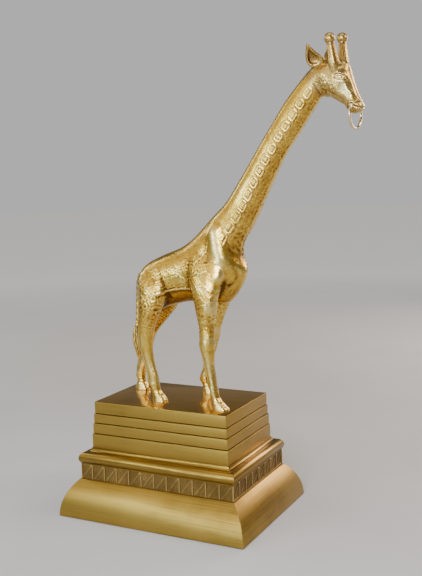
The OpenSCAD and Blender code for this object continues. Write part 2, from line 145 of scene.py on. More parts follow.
def rings(sections, n):
    a = circle(n)
    s = sections[:, :, None]
    x = (s[:, 0] + s[:, 2]) / 2 + (s[:, 0] - s[:, 2]) / 2 * np.cos(a)
    z = (s[:, 1] + s[:, 3]) / 2 + (s[:, 1] - s[:, 3]) / 2 * np.cos(a)
    y = s[:, 5] + s[:, 4] * np.sin(a)
    return turned(np.stack([x, y, z], -1), sections[:, 6][:, None])


def level(slices):
    return [[s[1], s[2], s[0], s[2], s[4], s[3], 0] for s in slices]


def step(x, lo, hi):
    t = np.clip((x - lo) / (hi - lo), 0, 1)
    return t * t * (3 - 2 * t)


def within(x, lo, lo_full, hi_full, hi):
    """1 from lo_full to hi_full, fading to 0 at lo and hi."""
    return step(x, lo, lo_full) * (1 - step(x, hi_full, hi))


def bell(x, w):
    return np.exp(-(x / w) ** 2)


def lattice(ix, iy, iz, seed):
    h = (ix * 73856093) ^ (iy * 19349663) ^ (iz * 83492791) ^ (seed * 2654435761)
    h = (h ^ (h >> 13)) * 1274126177
    return ((h ^ (h >> 16)) & 0xFFFF) / 32767.5 - 1


def noise(p, size, seed=1):
    """Smooth noise from -1 to 1, with features of that size."""
    q = p / size
    i = np.floor(q).astype(np.int64)
    f = q - i
    f = f * f * (3 - 2 * f)
    out = 0
    for dx in (0, 1):
        for dy in (0, 1):
            for dz in (0, 1):
                wx = f[:, 0] if dx else 1 - f[:, 0]
                wy = f[:, 1] if dy else 1 - f[:, 1]
                wz = f[:, 2] if dz else 1 - f[:, 2]
                out = out + wx * wy * wz * lattice(i[:, 0] + dx, i[:, 1] + dy, i[:, 2] + dz, seed)
    return out


def cells(a, b, pa, pb, jitter, seed, power=2.0):
    """Distance to the nearest and second nearest cell middle, and a number for the cell."""
    ia, ib = np.floor(a / pa).astype(np.int64), np.floor(b / pb).astype(np.int64)
    f1 = np.full(a.shape, 1e9)
    f2 = np.full(a.shape, 1e9)
    who = np.zeros(a.shape)
    for da in (-1, 0, 1):
        for db in (-1, 0, 1):
            ca, cb = ia + da, ib + db
            ra, rb = lattice(ca, cb, 0 * ca, seed), lattice(ca, cb, 0 * ca + 7, seed)
            xa = (ca + 0.5 + 0.5 * jitter * ra) * pa - a
            xb = (cb + 0.5 + 0.5 * jitter * rb) * pb - b
            d = (np.abs(xa) ** power + np.abs(xb) ** power) ** (1 / power)
            near = d < f1
            f2 = np.where(near, f1, np.minimum(f2, d))
            who = np.where(near, lattice(ca, cb, 0 * ca + 3, seed), who)
            f1 = np.where(near, d, f1)
    return f1, f2, who


# -------- meshes
def mesh_from(name, verts, faces):
    me = bpy.data.meshes.new(name)
    me.from_pydata([tuple(v) for v in np.asarray(verts, float) * MM], [], faces)
    me.update()
    return me


def as_object(name, me):
    ob = bpy.data.objects.new(name, me)
    bpy.context.scene.collection.objects.link(ob)
    return ob


@contextmanager
def editing(me):
    bm = bmesh.new()
    bm.from_mesh(me)
    yield bm
    bm.to_mesh(me)
    bm.free()


def face_out(bm):
    """Turns each closed island's faces outward."""
    for piece in islands(bm):
        if volume(piece) < 0:
            bmesh.ops.reverse_faces(bm, faces=list(piece))


def numbers_of(points, key):
    """One vector for each point, as rows."""
    out = np.empty(len(points) * 3)
    points.foreach_get(key, out)
    return out.reshape(-1, 3)


# The attribute holds patina in hollows and wear on proud parts, and also the painted highlights and painted
# shade that some castings add.
def set_patina_and_painted_light(me, values):
    at = me.attributes.get("patina_and_painted_light") or me.attributes.new("patina_and_painted_light", "FLOAT", "POINT")
    at.data.foreach_set("value", values.astype(np.float32))


def circle(n):
    return np.linspace(0, 2 * math.pi, n, endpoint=False)


def loft(points, start=0):
    """Faces of a closed skin through rings of points."""
    k, n = points.shape[:2]
    faces = []
    for r in range(k - 1):
        low, high = start + r * n, start + (r + 1) * n
        faces += [[low + i, low + (i + 1) % n, high + (i + 1) % n, high + i] for i in range(n)]
    faces.append([start + i for i in range(n - 1, -1, -1)])
    faces.append([start + (k - 1) * n + i for i in range(n)])
    return faces


def solid_of(name, skins):
    verts, faces = [], []
    for pts in skins:
        faces += loft(pts, sum(len(v) for v in verts))
        verts.append(pts.reshape(-1, 3))
    me = mesh_from(name, np.concatenate(verts), faces)
    with editing(me) as bm:
        face_out(bm)
    return me


def islands(bm):
    seen, out = set(), []
    for f in bm.faces:
        if f in seen:
            continue
        group, stack = set(), [f]
        while stack:
            g = stack.pop()
            if g in group:
                continue
            group.add(g)
            for e in g.edges:
                stack += [h for h in e.link_faces if h not in group]
        seen |= group
        out.append(group)
    return out


def volume(faces):
    total = 0.0
    for f in faces:
        v = [w.co for w in f.verts]
        for i in range(1, len(v) - 1):
            total += v[0].dot(v[i].cross(v[i + 1])) / 6
    return total


def applied(ob):
    dg = bpy.context.evaluated_depsgraph_get()
    me = bpy.data.meshes.new_from_object(ob.evaluated_get(dg))
    ob.modifiers.clear()
    old = ob.data
    ob.data = me
    bpy.data.meshes.remove(old)
    return ob


def remeshed(ob, size):
    mod = ob.modifiers.new("skin", "REMESH")
    mod.mode, mod.voxel_size, mod.adaptivity = "VOXEL", size * MM, 0
    return applied(ob)


class Surface:
    """A mesh's points as arrays, in millimetres."""

    def __init__(self, ob):
        self.ob, me = ob, ob.data
        self.n = len(me.vertices)
        self.p = numbers_of(me.vertices, "co") / MM
        e = np.empty(len(me.edges) * 2, np.int64)
        me.edges.foreach_get("vertices", e)
        e = e.reshape(-1, 2)
        self.a, self.b = np.concatenate([e[:, 0], e[:, 1]]), np.concatenate([e[:, 1], e[:, 0]])
        self.deg = np.maximum(np.bincount(self.a, minlength=self.n), 1)

    def mean(self, v):
        if v.ndim == 1:
            return np.bincount(self.a, v[self.b], self.n) / self.deg
        return np.stack([self.mean(v[:, i]) for i in range(v.shape[1])], 1)

    def smooth(self, times, weight=0.5):
        w = np.asarray(weight)
        w = w[:, None] if w.ndim else w
        for _ in range(times):
            self.p = self.p + w * (self.mean(self.p) - self.p)
        return self

    def normals(self):
        me = self.ob.data
        me.vertices.foreach_set("co", (self.p * MM).ravel())
        me.update()
        return numbers_of(me.vertices, "normal")

    def raise_by(self, d):
        self.p = self.p + self.normals() * d[:, None]
        return self

    def patina_and_painted_light(self, wide=14, deep=0.34, extra=0):
        """How dark each point is: 0 on proud edges, 1 in hollows; extra shifts it, on some castings to paint
        highlights and shade.
        """
        nn = self.normals()
        soft = self.p
        out = 0
        for k in range(wide):
            soft = soft + 0.5 * (self.mean(soft) - soft)
            if k in (3, wide - 1):
                out = out + ((soft - self.p) * nn).sum(1) * (1.0 if k == 3 else 0.7)
        for _ in range(2):
            out = self.mean(out)
        v = np.clip(0.5 + out / deep + extra, 0, 1)
        set_patina_and_painted_light(self.ob.data, v)
        self.ob.data.update()
        return self


def cut(ob, point, normal):
    """Keeps what lies behind the plane and closes the cut."""
    with editing(ob.data) as bm:
        geom = bm.verts[:] + bm.edges[:] + bm.faces[:]
        done = bmesh.ops.bisect_plane(bm, geom=geom, plane_co=Vector(point) * MM,
                                      plane_no=Vector(normal).normalized(), clear_outer=True)
        rim = [e for e in done["geom_cut"] if isinstance(e, bmesh.types.BMEdge)]
        caps = bmesh.ops.holes_fill(bm, edges=rim, sides=0)["faces"]
        for part in caps + [e for e in rim if e.is_valid]:
            part.smooth = False
    return ob


def shade(ob, angle=None):
    me = ob.data
    me.polygons.foreach_set("use_smooth", np.ones(len(me.polygons), bool))
    if angle:
        me.set_sharp_from_angle(angle=math.radians(angle))
    me.update()
    return ob


def bevelled(ob, width, segments=2, angle=30, material=-1):
    mod = ob.modifiers.new("edge", "BEVEL")
    mod.width, mod.segments, mod.limit_method = width * MM, segments, "ANGLE"
    mod.angle_limit, mod.material = math.radians(angle), material
    mod.use_clamp_overlap = True
    return applied(ob)


# -------- materials
class Nodes:
    """A material's nodes, or a world's."""

    def __init__(self, name, world=False):
        self.m = (bpy.data.worlds if world else bpy.data.materials).new(name)
        self.m.use_nodes = True
        self.t = self.m.node_tree
        self.t.nodes.clear()
        self.out = self.add("ShaderNodeOutputWorld" if world else "ShaderNodeOutputMaterial")
        if world:
            return
        self.bsdf = self.add("ShaderNodeBsdfPrincipled")
        self.join(self.bsdf, 0, self.out, 0)

    def add(self, kind, **kw):
        n = self.t.nodes.new(kind)
        for k, v in kw.items():
            if isinstance(k, str) and hasattr(n, k):
                setattr(n, k, v)
        return n

    def join(self, a, i, b, j):
        self.t.links.new(a.outputs[i], b.inputs[j])

    def coords(self, scale=(1, 1, 1)):
        c, m = self.add("ShaderNodeTexCoord"), self.add("ShaderNodeMapping")
        m.inputs["Scale"].default_value = scale
        self.join(c, "Object", m, "Vector")
        return m

    def noise(self, scale, where=(1, 1, 1), detail=3.0, rough=0.55):
        n = self.add("ShaderNodeTexNoise")
        n.inputs["Scale"].default_value, n.inputs["Detail"].default_value = scale, detail
        n.inputs["Roughness"].default_value = rough
        self.join(self.coords(where), 0, n, "Vector")
        return n

    def ramp(self, source, out, stops):
        r = self.add("ShaderNodeValToRGB")
        e = r.color_ramp.elements
        while len(e) < len(stops):
            e.new(0.5)
        for k, (pos, col) in zip(e, stops):
            k.position = pos
            k.color = (*col, 1) if len(col) == 3 else col
        self.join(source, out, r, 0)
        return r

    def mix(self, a, ai, b, bi, f=None, fi=0, fac=0.5, mode="MIX"):
        m = self.add("ShaderNodeMix", data_type="RGBA", blend_type=mode)
        m.inputs[0].default_value = fac
        if f is not None:
            self.join(f, fi, m, 0)
        self.join(a, ai, m, 6)
        self.join(b, bi, m, 7)
        return m

    def maths(self, op, a, ai, b=None, bi=0, value=0.5):
        m = self.add("ShaderNodeMath", operation=op)
        self.join(a, ai, m, 0)
        if b is None:
            m.inputs[1].default_value = value
        else:
            self.join(b, bi, m, 1)
        return m

    def bump(self, source, out, distance, strength=1.0, before=None):
        b = self.add("ShaderNodeBump")
        b.inputs["Strength"].default_value, b.inputs["Distance"].default_value = strength, distance
        self.join(source, out, b, "Height")
        if before:
            self.join(before, 0, b, "Normal")
        return b

    def surface(self, colour, rough, normal, metallic=1.0):
        self.join(colour, 0, self.bsdf, "Base Color")
        self.join(rough, 0, self.bsdf, "Roughness")
        self.join(normal, 0, self.bsdf, "Normal")
        self.bsdf.inputs["Metallic"].default_value = metallic
        return self.m

    def to_range(self, source, out, lo, hi, a=0.0, b=1.0):
        m = self.add("ShaderNodeMapRange")
        m.inputs[1].default_value, m.inputs[2].default_value = a, b
        m.inputs[3].default_value, m.inputs[4].default_value = lo, hi
        self.join(source, out, m, 0)
        return m


def cast_brass(name, gold, warm, dark, rough=(0.2, 0.42), depth=0.00012, wear=0.5):
    k = Nodes(name)
    att = k.add("ShaderNodeAttribute", attribute_name="patina_and_painted_light", attribute_type="GEOMETRY")
    blotch = k.noise(26, detail=4)
    fine = k.noise(260, detail=3)
    a = k.to_range(blotch, 0, -0.16, 0.16, 0.3, 0.7)
    b = k.to_range(fine, 0, -0.07, 0.07, 0.3, 0.7)
    total = k.maths("ADD", k.maths("ADD", att, "Fac", a, 0), 0, b, 0)
    worn = tuple(c + wear * (1 - c) * w for c, w in zip(gold, (0.7, 0.6, 0.34)))
    # The palest ramp stop is a near-white painted highlight colour (the worn colour when wear is 0.2 or
    # less); points pushed lowest, such as the painted highlight spots on the castings, lean towards it.
    painted_highlight = (0.86, 0.81, 0.70) if wear > 0.2 else worn
    scaled = k.to_range(total, 0, 0, 1, -0.6, 1.0)
    col = k.ramp(scaled, 0, [(0.1, painted_highlight), (0.28, worn), (0.43, worn), (0.6, gold), (0.775, warm),
                             (0.97, dark)])
    r = k.maths("ADD", k.to_range(total, 0, rough[0], rough[1], 0.3, 0.95), 0,
                k.to_range(blotch, 0, -0.04, 0.06, 0.3, 0.7), 0)
    hammer = k.bump(k.noise(150, detail=2), 0, depth * 2.2, 0.5)
    return k.surface(col, r, k.bump(fine, 0, depth, 0.6, hammer))


def brushed_brass(name, gold, dark, rough=(0.24, 0.4), lines=(9, 620), depth=0.00004):
    """Fine lines that run level along each face."""
    k = Nodes(name)
    geo, sep = k.add("ShaderNodeNewGeometry"), k.add("ShaderNodeSeparateXYZ")
    k.join(geo, "Normal", sep, 0)
    end = k.to_range(k.maths("ABSOLUTE", sep, 0), 0, 0, 1, 0.6, 0.8)
    lo, hi = lines
    along = k.noise(1, (lo, hi, hi), 4, 0.7)
    across = k.noise(1, (hi, lo, hi), 4, 0.7)
    streak = k.mix(along, 0, across, 0, end, 0)
    wide_a = k.noise(1, (lo * 0.4, hi * 0.16, hi * 0.16), 3)
    wide_b = k.noise(1, (hi * 0.16, lo * 0.4, hi * 0.16), 3)
    wide = k.mix(wide_a, 0, wide_b, 0, end, 0)
    cloud = k.noise(9, detail=4)
    s = k.maths("ADD", k.to_range(wide, 2, 0.2, 0.33, 0.3, 0.7), 0,
                k.to_range(cloud, 0, 0.05, 0.4, 0.3, 0.7), 0)
    s = k.maths("ADD", s, 0, k.to_range(streak, 2, -0.15, 0.15, 0.3, 0.7), 0)
    col = k.ramp(s, 0, [(0.2, tuple(min(1, c * 1.15) for c in gold)), (0.5, gold), (0.85, dark)])
    return k.surface(col, k.to_range(s, 0, rough[0], rough[1], 0.1, 1.0), k.bump(streak, 2, depth, 0.7))


def plain_metal(name, colour, rough):
    k = Nodes(name)
    n = k.noise(220, detail=3)
    c = k.ramp(n, 0, [(0.3, tuple(v * 0.8 for v in colour)), (0.7, colour)])
    return k.surface(c, k.to_range(n, 0, rough, rough + 0.15), k.bump(n, 0, 0.00005, 0.5))


def grained(name, light, dark, where, scale, rough, depth):
    k = Nodes(name)
    n = k.noise(scale, where, 5, 0.65)
    c = k.ramp(n, 0, [(0.3, dark), (0.7, light)])
    return k.surface(c, k.to_range(n, 0, rough - 0.06, rough + 0.06), k.bump(n, 0, depth, 0.8), 0.0)


GOLD = cast_brass("giraffe_brass", (0.63, 0.405, 0.055), (0.40, 0.215, 0.035), (0.11, 0.05, 0.01),
                  (0.27, 0.46), wear=0.36)
HEADBRASS = cast_brass("head_brass", (0.57, 0.385, 0.11), (0.36, 0.21, 0.06), (0.12, 0.06, 0.02),
                       (0.25, 0.44), wear=0.36)
WIRE = cast_brass("ring_brass", (0.78, 0.62, 0.34), (0.52, 0.38, 0.17), (0.2, 0.13, 0.06),
                  (0.18, 0.36), 0.00003)
PLINTH = brushed_brass("plinth_brass", (0.37, 0.235, 0.046), (0.19, 0.108, 0.018), (0.34, 0.47))
# The bead's brass is a darker copy of the plinth's: painted shade.
BEAD = brushed_brass("bead_brass", (0.30, 0.185, 0.036), (0.14, 0.078, 0.014), (0.26, 0.4))
PLATE = brushed_brass("top_face_brass", (0.62, 0.38, 0.08), (0.27, 0.14, 0.025), (0.13, 0.28))
# Paler brass on the bevelled edges: partly wear, partly a painted highlight along the edges.
EDGE = plain_metal("edge_wear_and_highlight_brass", (0.88, 0.68, 0.32), 0.3)
TARNISH = plain_metal("groove_brass", (0.06, 0.035, 0.012), 0.5)
FRIEZE = cast_brass("frieze_brass", (0.52, 0.36, 0.11), (0.25, 0.155, 0.045), (0.13, 0.075, 0.02),
                    (0.3, 0.5), wear=0.1)
STEEL = plain_metal("steel", (0.55, 0.56, 0.58), 0.3)
BOARD = grained("board", (0.42, 0.28, 0.16), (0.24, 0.14, 0.07), (3, 60, 60), 3, 0.75, 0.0002)
FELT = grained("felt", (0.035, 0.09, 0.06), (0.012, 0.035, 0.022), (1, 1, 1), 900, 0.95, 0.0004)


def finish_piece(ob, node, mats, body="statue"):
    ob.name = ob.data.name = "look_" + node
    ob.data.materials.clear()
    for m in mats:
        ob.data.materials.append(m)
    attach(ob, body)
    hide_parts(node)
    return ob


# -------- plinth
def corner(side, end, x_out, z):
    """A profile's point at one end of a side. Side 0 is +X, 1 +Y, 2 -X, 3 -Y; end is -1 or 1."""
    px, py = x_out, x_out - MITRE
    if side == 0:
        return (px, py * end, z)
    if side == 2:
        return (-px, py * end, z)
    return (px * end, py if side == 1 else -py, z)


def swept_side(name, profile, side, parts=1):
    n = len(profile)
    verts = []
    for j in range(parts + 1):
        t = j / parts
        for x, z in profile:
            a, b = np.array(corner(side, -1, x, z)), np.array(corner(side, 1, x, z))
            verts.append(a + (b - a) * t)
    pts = np.array(verts).reshape(parts + 1, n, 3)
    return solid_of(name, [pts])


def swept_round(name, profile, closed=True):
    """The profile swept round all four sides as one piece with mitred corners."""
    n = len(profile)
    turns = [(0, -1), (0, 1), (2, 1), (2, -1)]
    verts = [corner(s, e, x, z) for s, e in turns for x, z in profile]
    faces = []
    for r in range(4):
        q = (r + 1) % 4
        for i in range(n if closed else n - 1):
            j = (i + 1) % n
            faces.append([r * n + i, q * n + i, q * n + j, r * n + j])
    me = mesh_from(name, verts, faces)
    with editing(me) as bm:
        bmesh.ops.remove_doubles(bm, verts=bm.verts, dist=1e-6)
        bmesh.ops.dissolve_degenerate(bm, dist=1e-6, edges=bm.edges)
        bmesh.ops.recalc_face_normals(bm, faces=bm.faces)
    return me


def arc(cx, cz, r, a, b, n):
    angles = [math.radians(a + (b - a) * i / n) for i in range(n + 1)]
    return [(cx + r * math.cos(t), cz + r * math.sin(t)) for t in angles]


SIDES = {"right": 0, "back": 1, "left": 2, "front": 3}
lip_angle = math.degrees(math.asin(FOOT_TOP / FOOT_R))
low_angle = math.degrees(math.asin(1 / FOOT_R))
inner_r = FOOT_R - 4
foot_profile = (arc(FOOT_CX, 0, FOOT_R, low_angle, lip_angle, 44)
                + [(LEDGE_IN, FOOT_TOP), (LEDGE_IN, LEDGE_Z)]
                + [(FOOT_CX + math.sqrt(inner_r ** 2 - LEDGE_Z ** 2), LEDGE_Z)]
                + arc(FOOT_CX, 0, inner_r, math.degrees(math.asin(LEDGE_Z / inner_r)) - 1, low_angle, 24))
bead_profile = ([(BEAD_CX - BEAD_R, FRIEZE_TOP), (FACE - 0.5, FRIEZE_TOP), (FACE - 0.5, FRIEZE_TOP + 1.4)]
                + arc(BEAD_CX, BEAD_CZ, BEAD_R, -44, 104.5, 30)
                + arc(BEAD_CX, COVE_TOP, COVE_R, -114.5, -180, 12)
                + [(BEAD_CX - BEAD_R, COVE_TOP)])

STRIPS = [("foot", foot_profile, 0.55, 3, PLINTH), ("bead", bead_profile, 0.3, 2, BEAD)]
for word, side in SIDES.items():
    for kind, profile, edge, segments, metal in STRIPS:
        ob = as_object(kind, swept_side(kind, profile, side, 2))
        bevelled(ob, edge, segments, 35, 1)
        shade(ob, 28)
        finish_piece(ob, kind + "_" + word, [metal, EDGE])


def bar(points, low, high, draw=0.35):
    """One raised bar of the frieze: its outline drawn in a little at the top."""
    p = np.array(points, float)
    mid = p.mean(0)
    d = p - mid
    q = mid + d * np.maximum(0, 1 - draw / np.maximum(np.abs(d).max(0), 0.4))
    n = len(p)
    verts = [(low, *a) for a in p] + [(high - draw, *a) for a in p] + [(high, *a) for a in q]
    faces = [list(range(n))[::-1]]
    for row in (0, n):
        faces += [[row + i, row + (i + 1) % n, row + n + (i + 1) % n, row + n + i] for i in range(n)]
    faces.append([2 * n + i for i in range(n)])
    return verts, faces


def slant(a, b, w):
    """A straight bar of width w from a to b, as four corners."""
    a, b = np.array(a, float), np.array(b, float)
    d = (b - a) / np.linalg.norm(b - a)
    s = np.array([-d[1], d[0]]) * w / 2
    return [a - s, b - s, b + s, a + s]


def upright(left, right, low, high):
    """A level rectangle of the frieze, as four corners."""
    return [(left, low), (right, low), (right, high), (left, high)]


def frieze(word, side):
    across = 2 * (FACE if side % 2 else FACE - MITRE)
    panels = 12 if side % 2 else 8
    pitch = across / panels
    z0, z1 = FOOT_TOP, FRIEZE_TOP
    high = z1 - z0
    base, proud = FACE - 1.4, FACE
    bars = []
    for i in range(panels):
        u = -across / 2 + i * pitch
        k = lattice(np.int64(i), np.int64(side), np.int64(0), 5)
        bars.append((upright(u + pitch - 2.1, u + pitch - 0.2, 0.9, high - 0.9), 1.0))
        bars.append((slant((u + 2.2, 1.6), (u + pitch - 3.4, high - 1.4), 1.7), 0.62))
        bars.append((slant((u + pitch * 0.52, 1.5), (u + pitch - 3.2, high * (0.62 + 0.06 * k)), 1.1), 0.45))
        bars.append((slant((u + pitch * 0.5, 1.9), (u + pitch - 2.6, 1.9), 1.0), 0.4))
        bars.append((slant((u + 1.6, high * 0.5), (u + pitch * 0.34, high - 1.6), 1.0), 0.4))
    first, last = -across / 2 + 0.3, across / 2 - 0.3
    bars.append((upright(first, -across / 2 + 2.1, 0.9, high - 0.9), 1.0))
    bars.append((upright(first, last, 0, 1.2), 0.4))
    bars.append((upright(first, last, high - 1.1, high), 0.35))
    a = math.radians({0: 0, 1: 90, 2: 180, 3: -90}[side])
    shift = 0 if side % 2 == 0 else MITRE
    verts, faces = [], []
    for outline, tall in bars:
        v, f = bar(outline, base - 0.4, base + (proud - base) * tall)
        s = len(verts)
        for x, u, z in v:
            x -= shift
            verts.append((x * math.cos(a) - u * math.sin(a), x * math.sin(a) + u * math.cos(a), z + z0))
        faces += [[s + i for i in g] for g in f]
    relief = mesh_from("relief", verts, faces)
    back = swept_side("back", [(FACE - 4, z0), (base, z0), (base, z1), (FACE - 4, z1)], side, 1)
    bm = bmesh.new()
    bm.from_mesh(relief)
    face_out(bm)
    raised = len(bm.verts)
    bm.from_mesh(back)
    me = bpy.data.meshes.new("frieze")
    bm.to_mesh(me)
    bm.free()
    ob = as_object("frieze", me)
    co = numbers_of(me.vertices, "co") / MM
    out = (np.abs(co[:, 0]) if side % 2 == 0 else np.abs(co[:, 1]) + MITRE) - base
    val = np.where(out > 0.2, 0.78 - 0.55 * np.clip(out / 1.4, 0, 1) ** 1.5, 0.85)
    val[raised:] = 0.74
    set_patina_and_painted_light(me, val)
    shade(ob, 30)
    return finish_piece(ob, "frieze_" + word, [FRIEZE])


for word, side in SIDES.items():
    frieze(word, side)

GROOVE_DEEP, GROOVE_HIGH = 1.4, 1.2


def darken_groove(ob, half, z0):
    """The tarnished material on the groove under a tier."""
    for f in ob.data.polygons:
        c = f.center / MM
        if c.z < z0 + 1.25 and half - 1.7 < max(abs(c.x), abs(c.y) + MITRE) < half - 0.35:
            f.material_index = 2


def grooved(half, z0):
    """The groove's three points, at the foot of a tier's outer face."""
    return [(half - GROOVE_DEEP, z0), (half - GROOVE_DEEP, z0 + GROOVE_HIGH), (half, z0 + GROOVE_HIGH)]


for name, (half, z0, z1) in zip(["tier_4", "tier_3", "tier_2"], TIERS):
    prof = [(INNER, z0), (half, z0), (half, z1), (INNER, z1)]
    if name != "tier_4":
        prof[1:2] = grooved(half, z0)
    ob = as_object(name, swept_round(name, prof))
    bevelled(ob, 0.5, 3, 35, 1)
    shade(ob, 30)
    finish_piece(ob, name, [PLINTH, EDGE, TARNISH])
    darken_groove(ob, half, z0)

half, z0, z1 = TIERS[3]
prof = [(MITRE, z1 - 6), (INNER, z1 - 6), (INNER, z0)] + grooved(half, z0) + [(half, z1), (MITRE, z1)]
ob = as_object("top_slab", swept_round("top_slab", prof, closed=False))
bevelled(ob, 0.6, 3, 35, 1)
shade(ob, 30)
finish_piece(ob, "top_slab", [PLINTH, EDGE, TARNISH, PLATE])
darken_groove(ob, half, z0)
for f in ob.data.polygons:
    if f.material_index == 0 and f.normal.z > 0.9:
        f.material_index = 3

steel_nodes = ("tie_rods", "tie_nuts", "tie_washers", "hoof_studs", "hoof_nuts", "hoof_washers")
plain_nodes = [(name, STEEL) for name in steel_nodes] + [
    ("base_board", BOARD), ("felt_sheet", FELT), ("neck_sleeve", EDGE), ("head_sleeve", EDGE)]
for name, m in plain_nodes:
    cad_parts[name].data.materials.clear()
    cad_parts[name].data.materials.append(m)

# -------- giraffe: where a point lies along the spine
BODY = TORSO + NECK + HEAD
JOINT, NECK_END = len(TORSO) - 1, len(TORSO) + len(NECK) - 1
SPINE = spline(BODY, 3)
D = turned(np.stack([SPINE[:, 0], SPINE[:, 5], SPINE[:, 1]], -1), SPINE[:, 6])
V = turned(np.stack([SPINE[:, 2], SPINE[:, 5], SPINE[:, 3]], -1), SPINE[:, 6])
C, HH = (D + V) / 2, np.linalg.norm(D - V, axis=1) / 2
A = (D - V) / (2 * HH[:, None])
PIVOT = np.array([[TURN_X, 0.0, 0]] * len(SPINE))
SIDE = turned(PIVOT + [0, 1.0, 0], SPINE[:, 6]) - turned(PIVOT, SPINE[:, 6])
FWD = np.cross(A, -SIDE)
FWD = np.where(((FWD * np.gradient(C, axis=0)).sum(1) < 0)[:, None], -FWD, FWD)
LONG = np.concatenate([[0], np.cumsum(np.linalg.norm(np.diff(C, axis=0), axis=1))])
S_JOINT, S_END = LONG[JOINT * 3], LONG[NECK_END * 3]


def along_spine(p):
    """Distance along the spine, angle from the back (signed, degrees), height from -1 to 1, mean radius."""
    n = len(p)
    best, idx, tt = np.full(n, 1e9), np.zeros(n, int), np.zeros(n)
    before = ((p - C[0]) * FWD[0]).sum(1)
    for i in range(len(C) - 1):
        after = ((p - C[i + 1]) * FWD[i + 1]).sum(1)
        t = before / np.where(np.abs(before - after) < 1e-9, 1e-9, before - after)
        here = (before >= 0) & (after < 0)
        t = np.clip(t, 0, 1)
        c = C[i] + t[:, None] * (C[i + 1] - C[i])
        d = np.where(here, np.linalg.norm(p - c, axis=1), 1e8)
        near = d < best
        best, idx, tt = np.where(near, d, best), np.where(near, i, idx), np.where(near, t, tt)
        before = after
    lost = best > 1e7
    idx[lost & (p[:, 0] > 200)] = len(C) - 2
    tt[lost & (p[:, 0] > 200)] = 1

    def at(q):
        return q[idx] + (tt[:, None] if q.ndim > 1 else tt) * (q[idx + 1] - q[idx])
    v = p - at(C)
    up, lat = (v * at(A)).sum(1), (v * at(SIDE)).sum(1)
    w = SPINE[:, 4]
    return at(LONG), np.degrees(np.arctan2(lat, up)), up / at(HH), (at(HH) + at(w)) / 2


def box_outline(a, b, ha, hb, r):
    """Distance from a rounded rectangle's outline, negative inside."""
    qa, qb = np.abs(a) - ha + r, np.abs(b) - hb + r
    return np.hypot(np.maximum(qa, 0), np.maximum(qb, 0)) + np.minimum(np.maximum(qa, qb), 0) - r


def neck_relief(p):
    s, th, _, rad = along_spine(p)
    q = np.abs(th)
    d = np.zeros(len(p))
    on_neck = within(s, S_JOINT - 62, S_JOINT - 40, S_END - 6, S_END + 6)
    mane = within(s, S_JOINT - 120, S_JOINT - 90, S_END + 4, S_END + 16)
    arc_mm = np.radians(q) * rad
    # Mane: a proud strip with a groove along each edge
    d += mane * (0.55 * (1 - step(arc_mm, 2.6, 3.8)) - 0.6 * bell(arc_mm - 4.8, 1.1))
    d += mane * 0.10 * noise(p, 2.6, 41) * (1 - step(arc_mm, 2.4, 3.6))
    # A row of rounded links along each side
    pitch = 21.0
    k = np.round((s - S_JOINT) / pitch)
    local = s - S_JOINT - k * pitch
    ki = k.astype(np.int64)
    flip = np.where(th > 0, 3, 0)
    r1, r2, r3 = (lattice(ki, ki * 0 + flip, ki * 0 + c, 9) for c in (1, 2, 3))
    row = np.radians(q - (101 - 2 * r3)) * rad
    grow = 1 + 0.28 * (1 - step(s, S_JOINT - 40, S_JOINT + 70))
    o = box_outline(local + 0.08 * row * r1, row, (7.2 + 0.9 * r1) * grow, (6.4 + 0.7 * r2) * grow, 3.6)
    open_back = 1 - 0.75 * step(-row, 2.5, 6.5) * (r1 > -0.4)
    link = 0.62 * bell(o, 0.95) * open_back - 0.12 * bell(o + 2.4, 1.4) - 0.14 * bell(o - 2.3, 1.2)
    o2 = box_outline(local - 0.4 + 0.15 * row, row + 0.6, 2.6 * grow, 2.0 * grow, 1.6)
    link += 0.36 * bell(o2, 0.8) * (r2 > -0.25)
    link += 0.38 * bell(local, 0.8) * (np.abs(row) < 5) * (r3 > 0.35)
    side = bell(row, 11.5)
    d += on_neck * link * (side > 0.25)
    # Smaller links nearer the throat
    a2, b2 = s * 1.0, np.radians(q - 137) * rad
    f1, f2, _ = cells(a2 + 500, b2 + 200, 10.5, 9.0, 0.7, 21, 3)
    small = on_neck * within(q, 117, 123, 158, 166)
    d += small * (0.24 * bell(f2 - f1, 0.9) - 0.06 * bell(f1, 2.2))
    d += small * 0.15 * noise(p, 3.6, 4)
    # Throat's edge
    d += on_neck * (0.5 * bell(q - 172, 7) + 0.4 * step(q, 150, 164) * noise(p, 3.4, 43))
    # Light hammering on the smooth upper half
    d += 0.09 * noise(p, 6.5, 11) * (1 - small)
    return d


def shoulder_line(x, z):
    """How far along the shoulder blade's ridge a point lies, from 0 to 1, and its distance from the ridge."""
    top_x, top_z, run, fall = 88, 500, 16, 72
    t = np.clip(((x - top_x) * run - (z - top_z) * fall) / (run ** 2 + fall ** 2), 0, 1)
    return t, np.hypot(x - top_x - run * t, z - top_z + fall * t)


